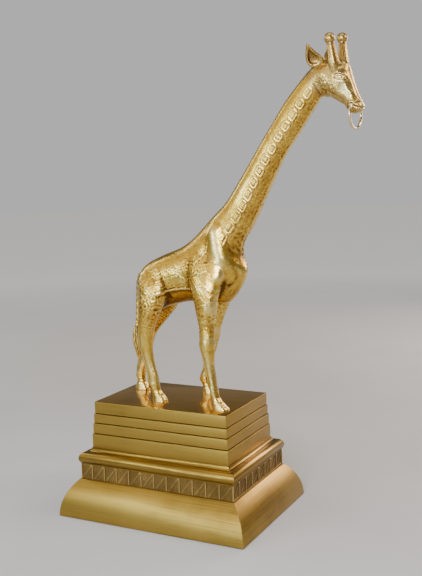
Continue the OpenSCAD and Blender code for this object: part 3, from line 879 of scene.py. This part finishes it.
def body_relief(p):
    s, th, up, _ = along_spine(p)
    q = np.abs(th)
    x, y, z = p.T
    torso = 1 - step(s, S_JOINT - 60, S_JOINT - 42)
    d = np.zeros(len(p))
    side = within(q, 38, 52, 128, 140) * (1 - step(x, 74, 88) * step(z, 400, 412))
    high = step(z, 388, 402)
    t, r = shoulder_line(x, z)
    # Flat patches with thin raised lines between them
    bend = 3.5 * noise(p, 38, 5)
    f1, f2, who = cells(s + bend + 300, up * 38 + 0.35 * bend + 300, 15.0, 12.5, 0.5, 33, 3.4)
    lines = 0.52 * bell(f2 - f1, 0.85) - 0.2 * bell(f2 - f1 - 2.4, 1.3) + 0.12 * who
    d += torso * side * high * lines * step(r, 11, 15)
    # A smaller link inside some of them
    d += torso * side * high * 0.24 * bell(f1 - 3.4, 0.8) * (who > 0.55)
    # Swirls on the thigh and the upper arm
    thigh = torso * (1 - step(x, -22, -6)) * step(np.abs(y), 16, 24)
    thigh = thigh * within(z, 350, 362, 408, 424)
    g1, g2, _ = cells(x + 400 + bend, z + 0.6 * bend, 15.5, 14.0, 0.85, 51)
    swirl = (0.55 * bell(g2 - g1, 0.9) + 0.5 * bell(g1 - 4.2, 0.85)
             - 0.15 * bell(g2 - g1 - 2.4, 1.2) - 0.06 * bell(g1 - 2.4, 1.2))
    d += thigh * swirl * (1 - 0.6 * side * high)
    arm = torso * step(x, 44, 54) * step(np.abs(y), 18, 26) * (1 - step(z, 398, 410)) * step(z, 350, 360)
    h1, h2, _ = cells(x + 400 + bend, z + 0.5 * bend, 21.0, 11.0, 0.75, 61, 3)
    d += arm * (0.42 * bell(h2 - h1, 0.85) - 0.12 * bell(h2 - h1 - 2.3, 1.2))
    d += 1.3 * bell(x - 92, 15) * bell(z - 374, 13) * step(np.abs(y), 30, 40)
    # The flank's edge, and the smooth belly under it
    middle = within(x, -28, -14, 46, 58) * torso
    edge = (up + 0.42) * 44
    d += middle * step(np.abs(y), 8, 18) * (1.15 * bell(edge, 1.7) - 0.9 * step(-edge, 1.5, 6) * (q < 172))
    # Fine lines over the belly's side
    b1, b2, _ = cells(x + 300 + bend, z + bend, 8.5, 6.5, 0.8, 71)
    d += middle * side * (1 - high) * 0.18 * bell(b2 - b1, 0.8) * (edge > 1)
    # Muscle: shoulder blade, stifle crease and the groove ahead of the thigh
    ahead = step(x - 88 - 16 * t, 2, 10) * step(490 - z, 0, 20)
    d += step(np.abs(y), 10, 22) * (2.6 * (1 - step(r, 1, 20)) - 0.8 * bell(r - 21, 3.5) * ahead)
    d -= 1.5 * bell(x + 6 + 0.35 * (z - 400), 5) * bell(z - 396, 30) * step(np.abs(y), 20, 30) * torso
    d -= 0.6 * bell(x - 46 + 0.2 * (z - 410), 6) * bell(z - 405, 22) * step(np.abs(y), 20, 30) * torso
    # Breast: a long dent beside the chest's keel
    d -= 1.0 * bell(x - 122 + 0.25 * (z - 440), 7) * bell(z - 428, 26) * bell(np.abs(y) - 17, 7)
    rough = 0.12 * noise(p, 5.0, 12) + 0.16 * noise(p, 13, 13) + 0.07 * noise(p, 2.6, 45)
    d += rough * (0.15 + 0.85 * step(r, 8, 16))
    return d


def leg_relief(p, slices):
    sl = np.array(slices, float)
    x, y, z = p.T
    fx, bx = np.interp(z, sl[:, 2], sl[:, 0]), np.interp(z, sl[:, 2], sl[:, 1])
    yc, hw = np.interp(z, sl[:, 2], sl[:, 3]), np.interp(z, sl[:, 2], sl[:, 4])
    xc = (fx + bx) / 2
    dy, dx = y - yc, x - xc
    out = 1 if yc.mean() > 0 else -1
    front = sl[0, 0] > 0 and sl[5, 0] > 0
    d = np.zeros(len(p))
    # Hoof: cleft, hoof's upper edge, and its slightly ringed horn
    hoof = 1 - step(z, 212.5, 215.5)
    d += 0.65 * hoof + 0.9 * (1 - step(z, 201, 211)) + 0.12 * hoof * np.sin(z * 2.0)
    d -= 0.5 * bell(dy, 0.7) * (1 - step(z, 206, 213)) * step(dx, 2, 7)
    d += 1.4 * (1 - step(z, 200, 214)) * step(dx, 3, 10)
    d += 0.35 * bell(z - 217.5, 2.2) - 0.15 * bell(z - 221, 1.6)
    # Dewclaws behind the pastern
    for s in (-1, 1):
        far = (dx + (fx - bx) * 0.46) ** 2 + (dy - s * 4.2) ** 2 * 1.3 + (z - 226) ** 2 * 0.8
        d += 2.2 * np.exp(-far / 9.0)
    # Fetlock folds
    d += 0.2 * bell(z - 233.5, 1.6) + 0.14 * bell(z - 237.5, 1.4)
    # Cannon: tendon grooves on both sides
    can = within(z, 238, 248, 284, 296)
    d -= can * 0.75 * bell(dx + 0.16 * (fx - bx), 1.5) * (np.abs(dy) > hw * 0.55)
    d += can * 0.35 * bell(dx - 0.12 * (fx - bx), 2.4) * (np.abs(dy) > hw * 0.5)
    if front:
        d -= 0.7 * bell(z - 340, 8)
        d += 1.25 * bell(z - 312, 9) * bell(dy, 6.5) * step(dx, 0, 8)
        d += 0.25 * bell(z - 323, 2.4) * step(dx, -2, 6) - 0.3 * bell(z - 300, 3.0) * step(dx, -2, 6)
        d += 0.9 * bell(z - 300, 5) * bell(dy, 5) * (1 - step(dx, -8, -2))
    else:
        d += 1.2 * bell(z - 303, 6) * bell(dy, 5.5) * (1 - step(dx, -10, -3))
        d -= 0.9 * bell(dx + 5, 2.2) * bell(z - 312, 14) * (np.abs(dy) > hw * 0.45)
    # Bands and veins above the knee
    wave = z + 2.2 * noise(p, 11, 31) + 0.12 * dx * out
    band = step(z, 322, 332)
    m = np.abs((wave / 9.5) % 1 - 0.5) * 9.5
    c1, c2, _ = cells(x + 300 + 2.0 * noise(p, 15, 37), z + 0.5 * y, 8.5, 6.0, 0.8, 77)
    veins = 0.34 * bell(c2 - c1, 0.8) - 0.1 * bell(c2 - c1 - 2.2, 1.1)
    d += within(z, 324, 334, 372, 384) * veins
    d += band * 0.2 * bell(m, 0.9) * (0.3 + 0.7 * step(noise(p, 16, 8), -0.2, 0.4))
    d += 0.12 * noise(p, 6.0, 14) + 0.16 * noise(p, 14, 47) + 0.06 * noise(p, 2.8, 46)
    return d


def head_relief(p):
    """On points turned back so that the head looks along +X."""
    q = turned(p, -HEAD_TURN)
    x, y, z = q.T
    ay = np.abs(y)
    d = np.zeros(len(p))
    out = step(ay, 5, 9)
    # Eye: ball, lids and the folds round them
    ex, ez = x - 312.5, z - 738.0
    u, v = ex * 0.94 - ez * 0.34, ex * 0.34 + ez * 0.94
    almond = np.hypot(u / 4.7, v / (2.9 - 0.4 * (v < 0)))
    eye = out * (almond < 3)
    d += eye * 1.3 * np.sqrt(np.maximum(0, 1 - np.minimum(almond, 1) ** 2))
    lid, upper, lower = step(v, -2.0, 0.5), step(v, -1, 2), 1 - step(v, -2, 1)
    d += eye * (1.15 * bell(almond - 1.3, 0.28) * lid + 0.6 * bell(almond - 1.35, 0.26) * (1 - lid))
    d -= eye * (0.5 * bell(almond - 1.85, 0.24) * upper + 0.4 * bell(almond - 1.85, 0.24) * lower)
    d += eye * (0.5 * bell(almond - 2.35, 0.3) * upper + 0.3 * bell(almond - 2.35, 0.26) * lower)
    d -= eye * 0.6 * bell(u - 5.6, 1.2) * bell(v + 0.9, 1.3)
    # Brow and forehead
    d += 1.5 * bell(x - 311, 8) * bell(z - 749, 5) * out
    d += 2.4 * bell(x - 318, 9) * bell(z - 759, 8) * bell(ay, 8)
    # Cheek: hollow below the eye, jaw's muscle, wrinkles and small bumps behind it
    d -= 1.5 * bell(x - 319, 9) * bell(z - 725, 8) * step(ay, 5, 10)
    d += 1.3 * bell(x - 293, 12) * bell(z - 728, 11) * step(ay, 8, 14)
    jaw = z - (0.62 * (311 - x) + 700)
    d += 0.55 * bell(jaw - 3.0, 2.2) * within(x, 286, 296, 316, 322) * step(ay, 4, 8)
    d -= 0.4 * bell(jaw - 8.0, 2.0) * within(x, 288, 297, 312, 318) * step(ay, 5, 9)
    f1, f2, _ = cells(x + 300, z, 7.5, 6.5, 0.9, 81)
    cheek = within(x, 266, 274, 299, 308) * step(ay, 6, 12)
    cheek = cheek * within(z, 709, 713, 731, 738)
    d += cheek * (0.6 * bell(f1, 2.6) - 0.22 * bell(f2 - f1, 1.0))
    # Smooth temple with a soft edge
    d += 0.8 * bell(x - 287, 13) * bell(z - 748, 9) * step(ay, 10, 16)
    # Nose: bridge ridge, flat sides
    along = (z - 700) / 45
    ridge_x = 341 - 19 * np.clip(along, 0, 1.2)
    d += 1.5 * bell(x - (ridge_x - 9), 5) * within(z, 709, 718, 738, 746) * step(ay, 5, 9)
    d += 0.35 * bell(ay - 6.0, 2.8) * step(x, ridge_x - 5, ridge_x - 1) * step(z, 704, 710)
    # Nostril
    nx, nz = x - 340.0, z - 699.8
    nu, nv = nx * 0.8 + nz * 0.6, -nx * 0.6 + nz * 0.8
    n = np.hypot(nu / 3.1, nv / 1.35)
    d -= 0.9 * bell(n, 0.8) * step(ay, 2.5, 4.5)
    d += 0.4 * bell(n - 1.75, 0.45) * step(ay, 2.5, 4.5)
    # Mouth: a line from the ring's hole to the front, with lips on both sides
    line = z - (696.3 - 0.42 * (x - 331))
    mouth = step(x, 328, 331)
    d -= mouth * 1.15 * bell(line, 0.85)
    d += mouth * (0.45 * bell(line - 2.8, 1.5) + 0.4 * bell(line + 3.0, 1.6))
    # Creases at the mouth's corner, and the raised rim round the ring's hole
    h = np.hypot(x - MOUTH[0], z - MOUTH[2])
    d += 0.9 * bell(h - 4.3, 1.0) * step(ay, 5, 8)
    d -= 0.8 * bell(x - 322.5 - 0.35 * (z - 697), 1.1) * bell(z - 698, 7) * step(ay, 5, 8)
    # Chin
    d += 1.2 * bell(x - 325, 4) * bell(z - 687, 4)
    # Crown between the ears, and the skull round each ossicone's foot
    foot = np.hypot(x - 302, ay - 15.9)
    d += 2.0 * bell(foot - 8.5, 3.2) * step(z, 752, 760)
    d += 0.10 * noise(p, 5.0, 15) + 0.12 * noise(p, 2.6, 16) * step(x, 262, 272)
    return d


# -------- giraffe: pieces
def casting(name, skins, voxel):
    """The skins as one voxel mesh, and its surface as arrays."""
    ob = remeshed(as_object(name, solid_of(name, skins)), voxel)
    return ob, Surface(ob)


fine = spline(BODY, 6)
torso_rings = rings(fine[: (JOINT + 2) * 6 + 1], 72)
neck_rings = rings(fine[(JOINT - 2) * 6: (NECK_END + 2) * 6 + 1], 72)
head_rings = rings(fine[(NECK_END - 3) * 6:], 72)
leg_skins = {k: rings(spline(level(v), 5), 44) for k, v in LEGS.items()}
LEG_CUT = 346.0

stubs = [leg_skins[k][7 * 5:] for k in LEGS]
torso, t = casting("torso", [torso_rings] + stubs, 1.24)
x, y, z = t.p.T
w = 0.5 * within(z, 349, 364, 484, 500) * step(np.abs(y), 6, 14)
w = np.maximum(w, 0.5 * step(z, 366, 382) * step(np.abs(y), 4, 10) * (1 - step(z, 484, 500)))
t.smooth(46, w).smooth(2, 0.4)
d = body_relief(t.p)
s_, th_, up_, rad_ = along_spine(t.p)
d = d + neck_relief(t.p) * (step(s_, S_JOINT - 120, S_JOINT - 100))
for k, v in LEGS.items():
    sl = np.array(v, float)
    yc = np.interp(t.p[:, 2], sl[:, 2], sl[:, 3])
    xc = np.interp(t.p[:, 2], sl[:, 2], (sl[:, 0] + sl[:, 1]) / 2)
    mine = (np.abs(t.p[:, 1] - yc) < 18) & (np.abs(t.p[:, 0] - xc) < 34)
    d = d + np.where(mine, leg_relief(t.p, v) * (1 - step(t.p[:, 2], 358, 376)), 0)
t.raise_by(d).smooth(1, 0.3)
x, y, z = t.p.T
k, r = shoulder_line(x, z)
# Painted highlight: the shoulder blade's ridge and the elbow are made paler. Painted shade: the belly's
# underside is made darker.
shoulder = (1 - step(r + 3.5 * k, 6, 9.5)) * step(np.abs(y), 10, 22)
elbow = bell(x - 92, 10) * bell(z - 376, 10) * step(np.abs(y), 30, 40)
t.patina_and_painted_light(14, 0.34, 0.20 * step(-up_, 0.45, 0.8) - 0.8 * (shoulder + elbow))
joint_co = C[JOINT * 3]
joint_no = FWD[JOINT * 3]
cut(torso, joint_co, joint_no)
cut(torso, (0, 0, LEG_CUT), (0, 0, -1))
shade(torso)
finish_piece(torso, "torso", [GOLD])

neck, t = casting("neck", [neck_rings], 0.85)
t.smooth(3, 0.4)
s_, th_, up_, rad_ = along_spine(t.p)
t.raise_by(neck_relief(t.p) + body_relief(t.p) * (1 - step(s_, S_JOINT - 30, S_JOINT - 10))).smooth(1, 0.3)
round_, arc_ = np.abs(th_), np.radians(np.abs(th_)) * rad_
# Painted shade darkens the neck's lower half. The mane strip and the throat's edge are made paler, partly as
# wear on proud ridges and partly as a painted highlight; the mane's grooves get darker patina.
t.patina_and_painted_light(18, 0.36, 0.16 * step(round_, 104, 132) - 0.08 + 0.16 * bell(arc_ - 4.8, 1.2)
         - 0.4 * step(round_, 163, 171) - 0.3 * (1 - step(arc_, 2.4, 3.6)))
cut(neck, joint_co, -Vector(joint_no))
cut(neck, C[NECK_END * 3], FWD[NECK_END * 3])
shade(neck)
finish_piece(neck, "neck", [GOLD])

head, t = casting("head", [head_rings], 0.62)
t.smooth(4, 0.4)
s_, th_, up_, rad_ = along_spine(t.p)
d = head_relief(t.p) * step(s_, S_END - 4, S_END + 14)
d = d + neck_relief(t.p) * (1 - step(s_, S_END + 2, S_END + 16))
t.raise_by(d).smooth(2, 0.35)
# The bore that the ring hangs in
q = turned(t.p, -HEAD_TURN)
a = np.radians(RING_YAW)
bx = (q[:, 0] - MOUTH[0]) * np.cos(a) + q[:, 1] * np.sin(a)
bz = q[:, 2] - MOUTH[2]
x, y, z = t.p.T
# Painted highlights: pale patches on the temple and the side of the nose. Painted shade: darker round the
# ring's hole.
temple = bell(x - 292, 9) * bell(z - 751, 7) * step(np.abs(y), 8, 16)
nose = bell(0.87 * (x - 318) + 0.5 * (z - 722), 8) * bell(-0.5 * (x - 318) + 0.87 * (z - 722), 15)
t.patina_and_painted_light(18, 0.6, -0.04 + 0.5 * bell(np.hypot(bx, bz), 3.4) - 0.55 * np.minimum(temple + nose, 1))
cut(head, C[NECK_END * 3], -Vector(FWD[NECK_END * 3]))
pin = []
turn = math.radians(-HEAD_TURN + RING_YAW)
centre = turned(np.array(MOUTH), HEAD_TURN)
BORE_R = 2.8
for yy in (-26, 26):
    pin.append([(centre[0] + BORE_R * math.cos(b) * math.cos(turn) - yy * math.sin(turn),
                 centre[1] + BORE_R * math.cos(b) * math.sin(turn) + yy * math.cos(turn),
                 centre[2] + BORE_R * math.sin(b)) for b in circle(48)])
drill = as_object("drill", solid_of("drill", [np.array(pin)]))
mod = head.modifiers.new("bore", "BOOLEAN")
mod.operation, mod.object, mod.solver = "DIFFERENCE", drill, "EXACT"
applied(head)
bpy.data.objects.remove(drill)
shade(head, 62)
finish_piece(head, "head", [HEADBRASS])

for k, v in LEGS.items():
    leg, t = casting("leg", [leg_skins[k][: 12 * 5 + 1]], 0.72)
    t.smooth(4, 0.4)
    x, y, z = t.p.T
    t.raise_by(leg_relief(t.p, v)).smooth(1, 0.3)
    # Painted highlights: paler at the front knees, the hooves and the cannons.
    knee = bell(z - 320, 7) if v[0][0] > 0 else 0
    painted_highlight = knee + 0.8 * (1 - step(z, 204, 216)) + 0.5 * bell(z - 258, 22)
    t.patina_and_painted_light(16, 0.44, 0.05 * step(z, 300, 340) - 0.04 - 0.3 * painted_highlight)
    cut(leg, (0, 0, LEG_CUT), (0, 0, 1))
    cut(leg, (0, 0, TOP), (0, 0, -1))
    shade(leg)
    finish_piece(leg, "leg_" + k, [GOLD])

tail, t = casting("tail", [rings(spline(level(TAIL), 8), 40)], 0.6)
t.smooth(3, 0.4)
sl = np.array(TAIL, float)
x, y, z = t.p.T
xc = np.interp(z, sl[:, 2], (sl[:, 0] + sl[:, 1]) / 2)
ang = np.arctan2(y, x - xc)
tuft = 1 - step(z, 322, 332)
d = tuft * (0.65 * np.sin(9 * ang + z * 0.14) + 0.25 * np.sin(17 * ang - z * 0.2))
d += (1 - tuft) * 0.3 * np.sin(3 * ang + z * 0.55) + 0.9 * bell(z - 328, 2.0) - 0.5 * bell(z - 331.5, 1.4)
t.raise_by(d).smooth(1, 0.3)
t.patina_and_painted_light(14, 0.4, 0.02)
shade(tail)
finish_piece(tail, "tail", [GOLD])

# -------- ossicones and ears
FOOT, BALL, SKEW = np.array([302.6, 15.9, 755.0]), np.array([297.8, 20.1, 799.2]), 2.0
for word, sgn in (("right", -1), ("left", 1)):
    foot = FOOT * [1, sgn, 1]
    top = (BALL + [0, 0, sgn * SKEW]) * [1, sgn, 1]
    axis = (top - foot) / np.linalg.norm(top - foot)
    long = np.linalg.norm(top - foot)
    e1 = np.cross(axis, [0, 1, 0])
    e1 /= np.linalg.norm(e1)
    e2 = np.cross(axis, e1)
    prof = [(-14, 3.5), (-8, 6.2), (-2, 7.9), (4, 8.7), (9, 8.7), (15, 8.3), (24, 7.4), (31, 6.7)]
    prof += [(long - 8.2, 6.1)]
    ball_r = 8.6
    angles = [math.radians(b) for b in range(-42, 90, 6)]
    prof += [(long + ball_r * math.sin(b), ball_r * math.cos(b)) for b in angles]
    prof += [(long + ball_r, 0.5)]
    prof = spline(prof, 3)
    a = circle(72)
    h, r = prof[:, 0][:, None], prof[:, 1][:, None]
    stem = 1 - step(h, long - 9, long - 5)
    rr = r + stem * (0.24 * np.cos(6 * a + 0.5) + 0.09 * np.cos(14 * a + 0.05 * h)) * step(h, 0, 8)
    pts = foot + h[..., None] * axis + (rr * np.cos(a))[..., None] * e1 + (rr * np.sin(a))[..., None] * e2
    ob = as_object("ossicone", solid_of("ossicone", [turned(pts, HEAD_TURN)]))
    t = Surface(ob)
    ball = np.linalg.norm(t.p - turned(top, HEAD_TURN), axis=1) < ball_r + 1
    pitted = 0.16 * noise(t.p, 3.0, 17) + 0.16 * noise(t.p, 6, 18)
    t.raise_by(np.where(ball, pitted, 0.10 * noise(t.p, 4, 19)))
    t.patina_and_painted_light(12, 0.9, 0.05 + 0.14 * (~ball))
    shade(ob)
    finish_piece(ob, "ossicone_" + word, [HEADBRASS])

EAR = [(284, 15.5, 770), (276, 25, 779.5), (271.5, 31, 785.5), (267, 36, 791.5), (262.8, 32.5, 784),
       (260.4, 29.5, 774), (260.3, 26.5, 765), (264, 23, 757.5), (271, 18, 755.5), (281, 12.5, 759)]
HOLLOW = np.array([269.0, 25.2, 770.5])
# The ear's skin from the inside's middle over the rim to the back: share of the outline, height
EAR_LAYERS = [
    (0.03, -2.3), (0.2, -2.2), (0.38, -1.7), (0.52, -0.8), (0.6, 0.35), (0.66, 1.1), (0.74, 1.5), (0.84, 1.5),
    (0.93, 1.1), (0.99, 0.2), (1.0, -0.7), (0.97, -1.8), (0.88, -3.0), (0.7, -4.2), (0.45, -5.0), (0.2, -5.4),
    (0.03, -5.5)]
for word, sgn in (("right", -1), ("left", 1)):
    loop = np.array(EAR, float)
    k = len(loop)
    rim = []
    for i in range(k):
        a, b, c, d = loop[i - 1], loop[i], loop[(i + 1) % k], loop[(i + 2) % k]
        rim += [cubic(a, b, c, d, j / 12) for j in range(12)]
    rim = np.array(rim)
    n = np.cross(loop[3] - loop[0], loop[7] - loop[0])
    n /= np.linalg.norm(n)
    if n[1] < 0:
        n = -n
    mid = HOLLOW
    layers = [mid + (rim - mid) * f + n * h for f, h in EAR_LAYERS]
    pts = np.array(layers) * [1, sgn, 1]
    ob, t = casting("ear", [turned(pts, HEAD_TURN)], 0.45)
    t.smooth(5, 0.5)
    t.raise_by(0.07 * noise(t.p, 3.0, 23) + 0.10 * noise(t.p, 6, 24)).smooth(1, 0.3)
    lp = turned(t.p, -HEAD_TURN) * [1, sgn, 1] - mid
    depth = (lp * n).sum(1)
    inside = bell(np.linalg.norm(lp - depth[:, None] * n, axis=1), 12)
    inside = inside * step(-depth, -0.8, 1.6) * step(depth, -3.2, -2.6)
    t.patina_and_painted_light(14, 1.0, 0.22 * inside)
    shade(ob)
    finish_piece(ob, "ear_" + word, [HEADBRASS])

# -------- mouth ring
RING_R, BAR, WIRE_R = 20.8, 13.6, 2.1
drop = math.sqrt(RING_R ** 2 - BAR ** 2)
path = [(u, 0.0) for u in np.linspace(-BAR + 1.6, BAR - 1.6, 13)]
start = math.atan2(drop, BAR)
sweep = np.linspace(start, -math.pi - start, 121)
arc_pts = [(RING_R * math.cos(b), -drop + RING_R * math.sin(b)) for b in sweep]
bend = spline([path[-1], (BAR - 0.35, -0.35), arc_pts[2]], 4)[1:-1]
path = path + [tuple(b) for b in bend] + arc_pts[2:-2] + [(-b[0], b[1]) for b in bend[::-1]]
path = np.array(path)
n = len(path)
tangent = np.roll(path, -1, 0) - np.roll(path, 1, 0)
tangent /= np.linalg.norm(tangent, axis=1)[:, None]
nrm = np.stack([-tangent[:, 1], tangent[:, 0]], 1)
a = circle(28)
across_dir = np.array([-math.sin(turn), math.cos(turn), 0])
fwd_dir = np.array([math.cos(turn), math.sin(turn), 0])
up_dir = np.array([0, 0, 1.0])
ring_verts, ring_faces = [], []
for i in range(n):
    for b in a:
        off = nrm[i] * WIRE_R * math.cos(b)
        p = path[i] + off
        ring_verts.append(centre + across_dir * p[0] + up_dir * p[1] + fwd_dir * WIRE_R * math.sin(b))
for i in range(n):
    j = (i + 1) % n
    for m in range(28):
        o = (m + 1) % 28
        ring_faces.append([i * 28 + m, i * 28 + o, j * 28 + o, j * 28 + m])
me = mesh_from("ring", ring_verts, ring_faces)
with editing(me) as bm:
    bmesh.ops.recalc_face_normals(bm, faces=bm.faces)
ob = as_object("ring", me)
Surface(ob).patina_and_painted_light(8, 1.2, -0.1)
shade(ob)
finish_piece(ob, "mouth_ring", [WIRE], body="ring")

# -------- floor, light and camera
k = Nodes("pale_floor")
n = k.noise(3, detail=3)
k.join(k.ramp(n, 0, [(0.35, (0.52, 0.515, 0.51)), (0.65, (0.55, 0.545, 0.54))]), 0, k.bsdf, "Base Color")
k.bsdf.inputs["Roughness"].default_value = 0.9
where, away = k.add("ShaderNodeTexCoord"), k.add("ShaderNodeVectorMath", operation="LENGTH")
k.join(where, "Object", away, 0)
k.bsdf.inputs["Emission Color"].default_value = (1, 1, 1, 1)
k.join(k.to_range(away, "Value", 0, 0.45, 0.9, 3.6), 0, k.bsdf, "Emission Strength")
bm = bmesh.new()
bmesh.ops.create_circle(bm, cap_ends=True, segments=96, radius=14)
me = bpy.data.meshes.new("floor")
bm.to_mesh(me)
bm.free()
me.materials.append(k.m)
floor = as_object("floor", me)

k = Nodes("studio", world=True)
bpy.context.scene.world = k.m
coord, sepw, dim = (k.add("ShaderNode" + kind) for kind in ("TexCoord", "SeparateXYZ", "Background"))
k.join(coord, "Generated", sepw, 0)
k.join(k.ramp(sepw, 2, [(0.0, (0.24, 0.20, 0.14)), (0.7, (0.15, 0.14, 0.125))]), 0, dim, 0)
pale, rays, pick = (k.add("ShaderNode" + kind) for kind in ("Background", "LightPath", "MixShader"))
pale.inputs[0].default_value = (0.53, 0.53, 0.53, 1)
k.join(rays, "Is Camera Ray", pick, 0)
k.join(dim, 0, pick, 1)
k.join(pale, 0, pick, 2)
k.join(pick, 0, k.out, 0)


def towards(az, el):
    """The direction from the middle to something at that azimuth and height, in radians."""
    return Vector((math.sin(az) * math.cos(el), -math.cos(az) * math.cos(el), math.sin(el)))


def lamp(name, az, el, dist, size, watts, colour, roll=0, aim=(0.05, 0, 0.42)):
    li = bpy.data.lights.new(name, "AREA")
    li.shape, li.size, li.size_y, li.energy, li.color = "RECTANGLE", size[0], size[1], watts, colour
    ob = as_object(name, li)
    back = towards(math.radians(az), math.radians(el))
    ob.location = Vector(aim) + back * dist
    ob.rotation_mode = "QUATERNION"
    ob.rotation_quaternion = back.to_track_quat("Z", "Y") @ Quaternion((0, 0, 1), math.radians(roll))
    return ob


lamp("window", -24, 9, 2.0, (0.2, 2.2), 24, (0.60, 0.78, 1.0), 64)
lamp("strip", 14, 20, 2.0, (0.26, 1.3), 34, (0.84, 0.90, 1.0), 60)
lamp("key", -44, 34, 2.6, (3.2, 2.2), 22, (1.0, 0.86, 0.52))
lamp("right", 104, 36, 2.1, (0.8, 0.7), 18, (1.0, 0.88, 0.82))
lamp("over", 40, 80, 2.4, (2.0, 2.0), 24, (1.0, 0.97, 0.92))
lamp("rim", 158, 17, 2.3, (0.9, 1.0), 28, (1.0, 0.84, 0.76))
lamp("side", -100, 24, 2.4, (0.4, 1.4), 9, (0.97, 1.0, 0.95))

cam_data = bpy.data.cameras.new("camera")
cam = as_object("camera", cam_data)
bpy.context.scene.camera = cam
cam_data.sensor_width, cam_data.lens = 36, 54.76
az, el, roll = (math.radians(v) for v in (26.97, 7.44, -1.52))
back = towards(az, el)
right = Vector((math.cos(az), math.sin(az), 0))
up = right.cross(-back)
r2, u2 = right * math.cos(roll) + up * math.sin(roll), up * math.cos(roll) - right * math.sin(roll)
cam_at = Vector((0.7474, -1.3399, 0.5969))
cam.matrix_world = Matrix([(r2[i], u2[i], back[i], cam_at[i]) for i in range(3)] + [(0, 0, 0, 1)])
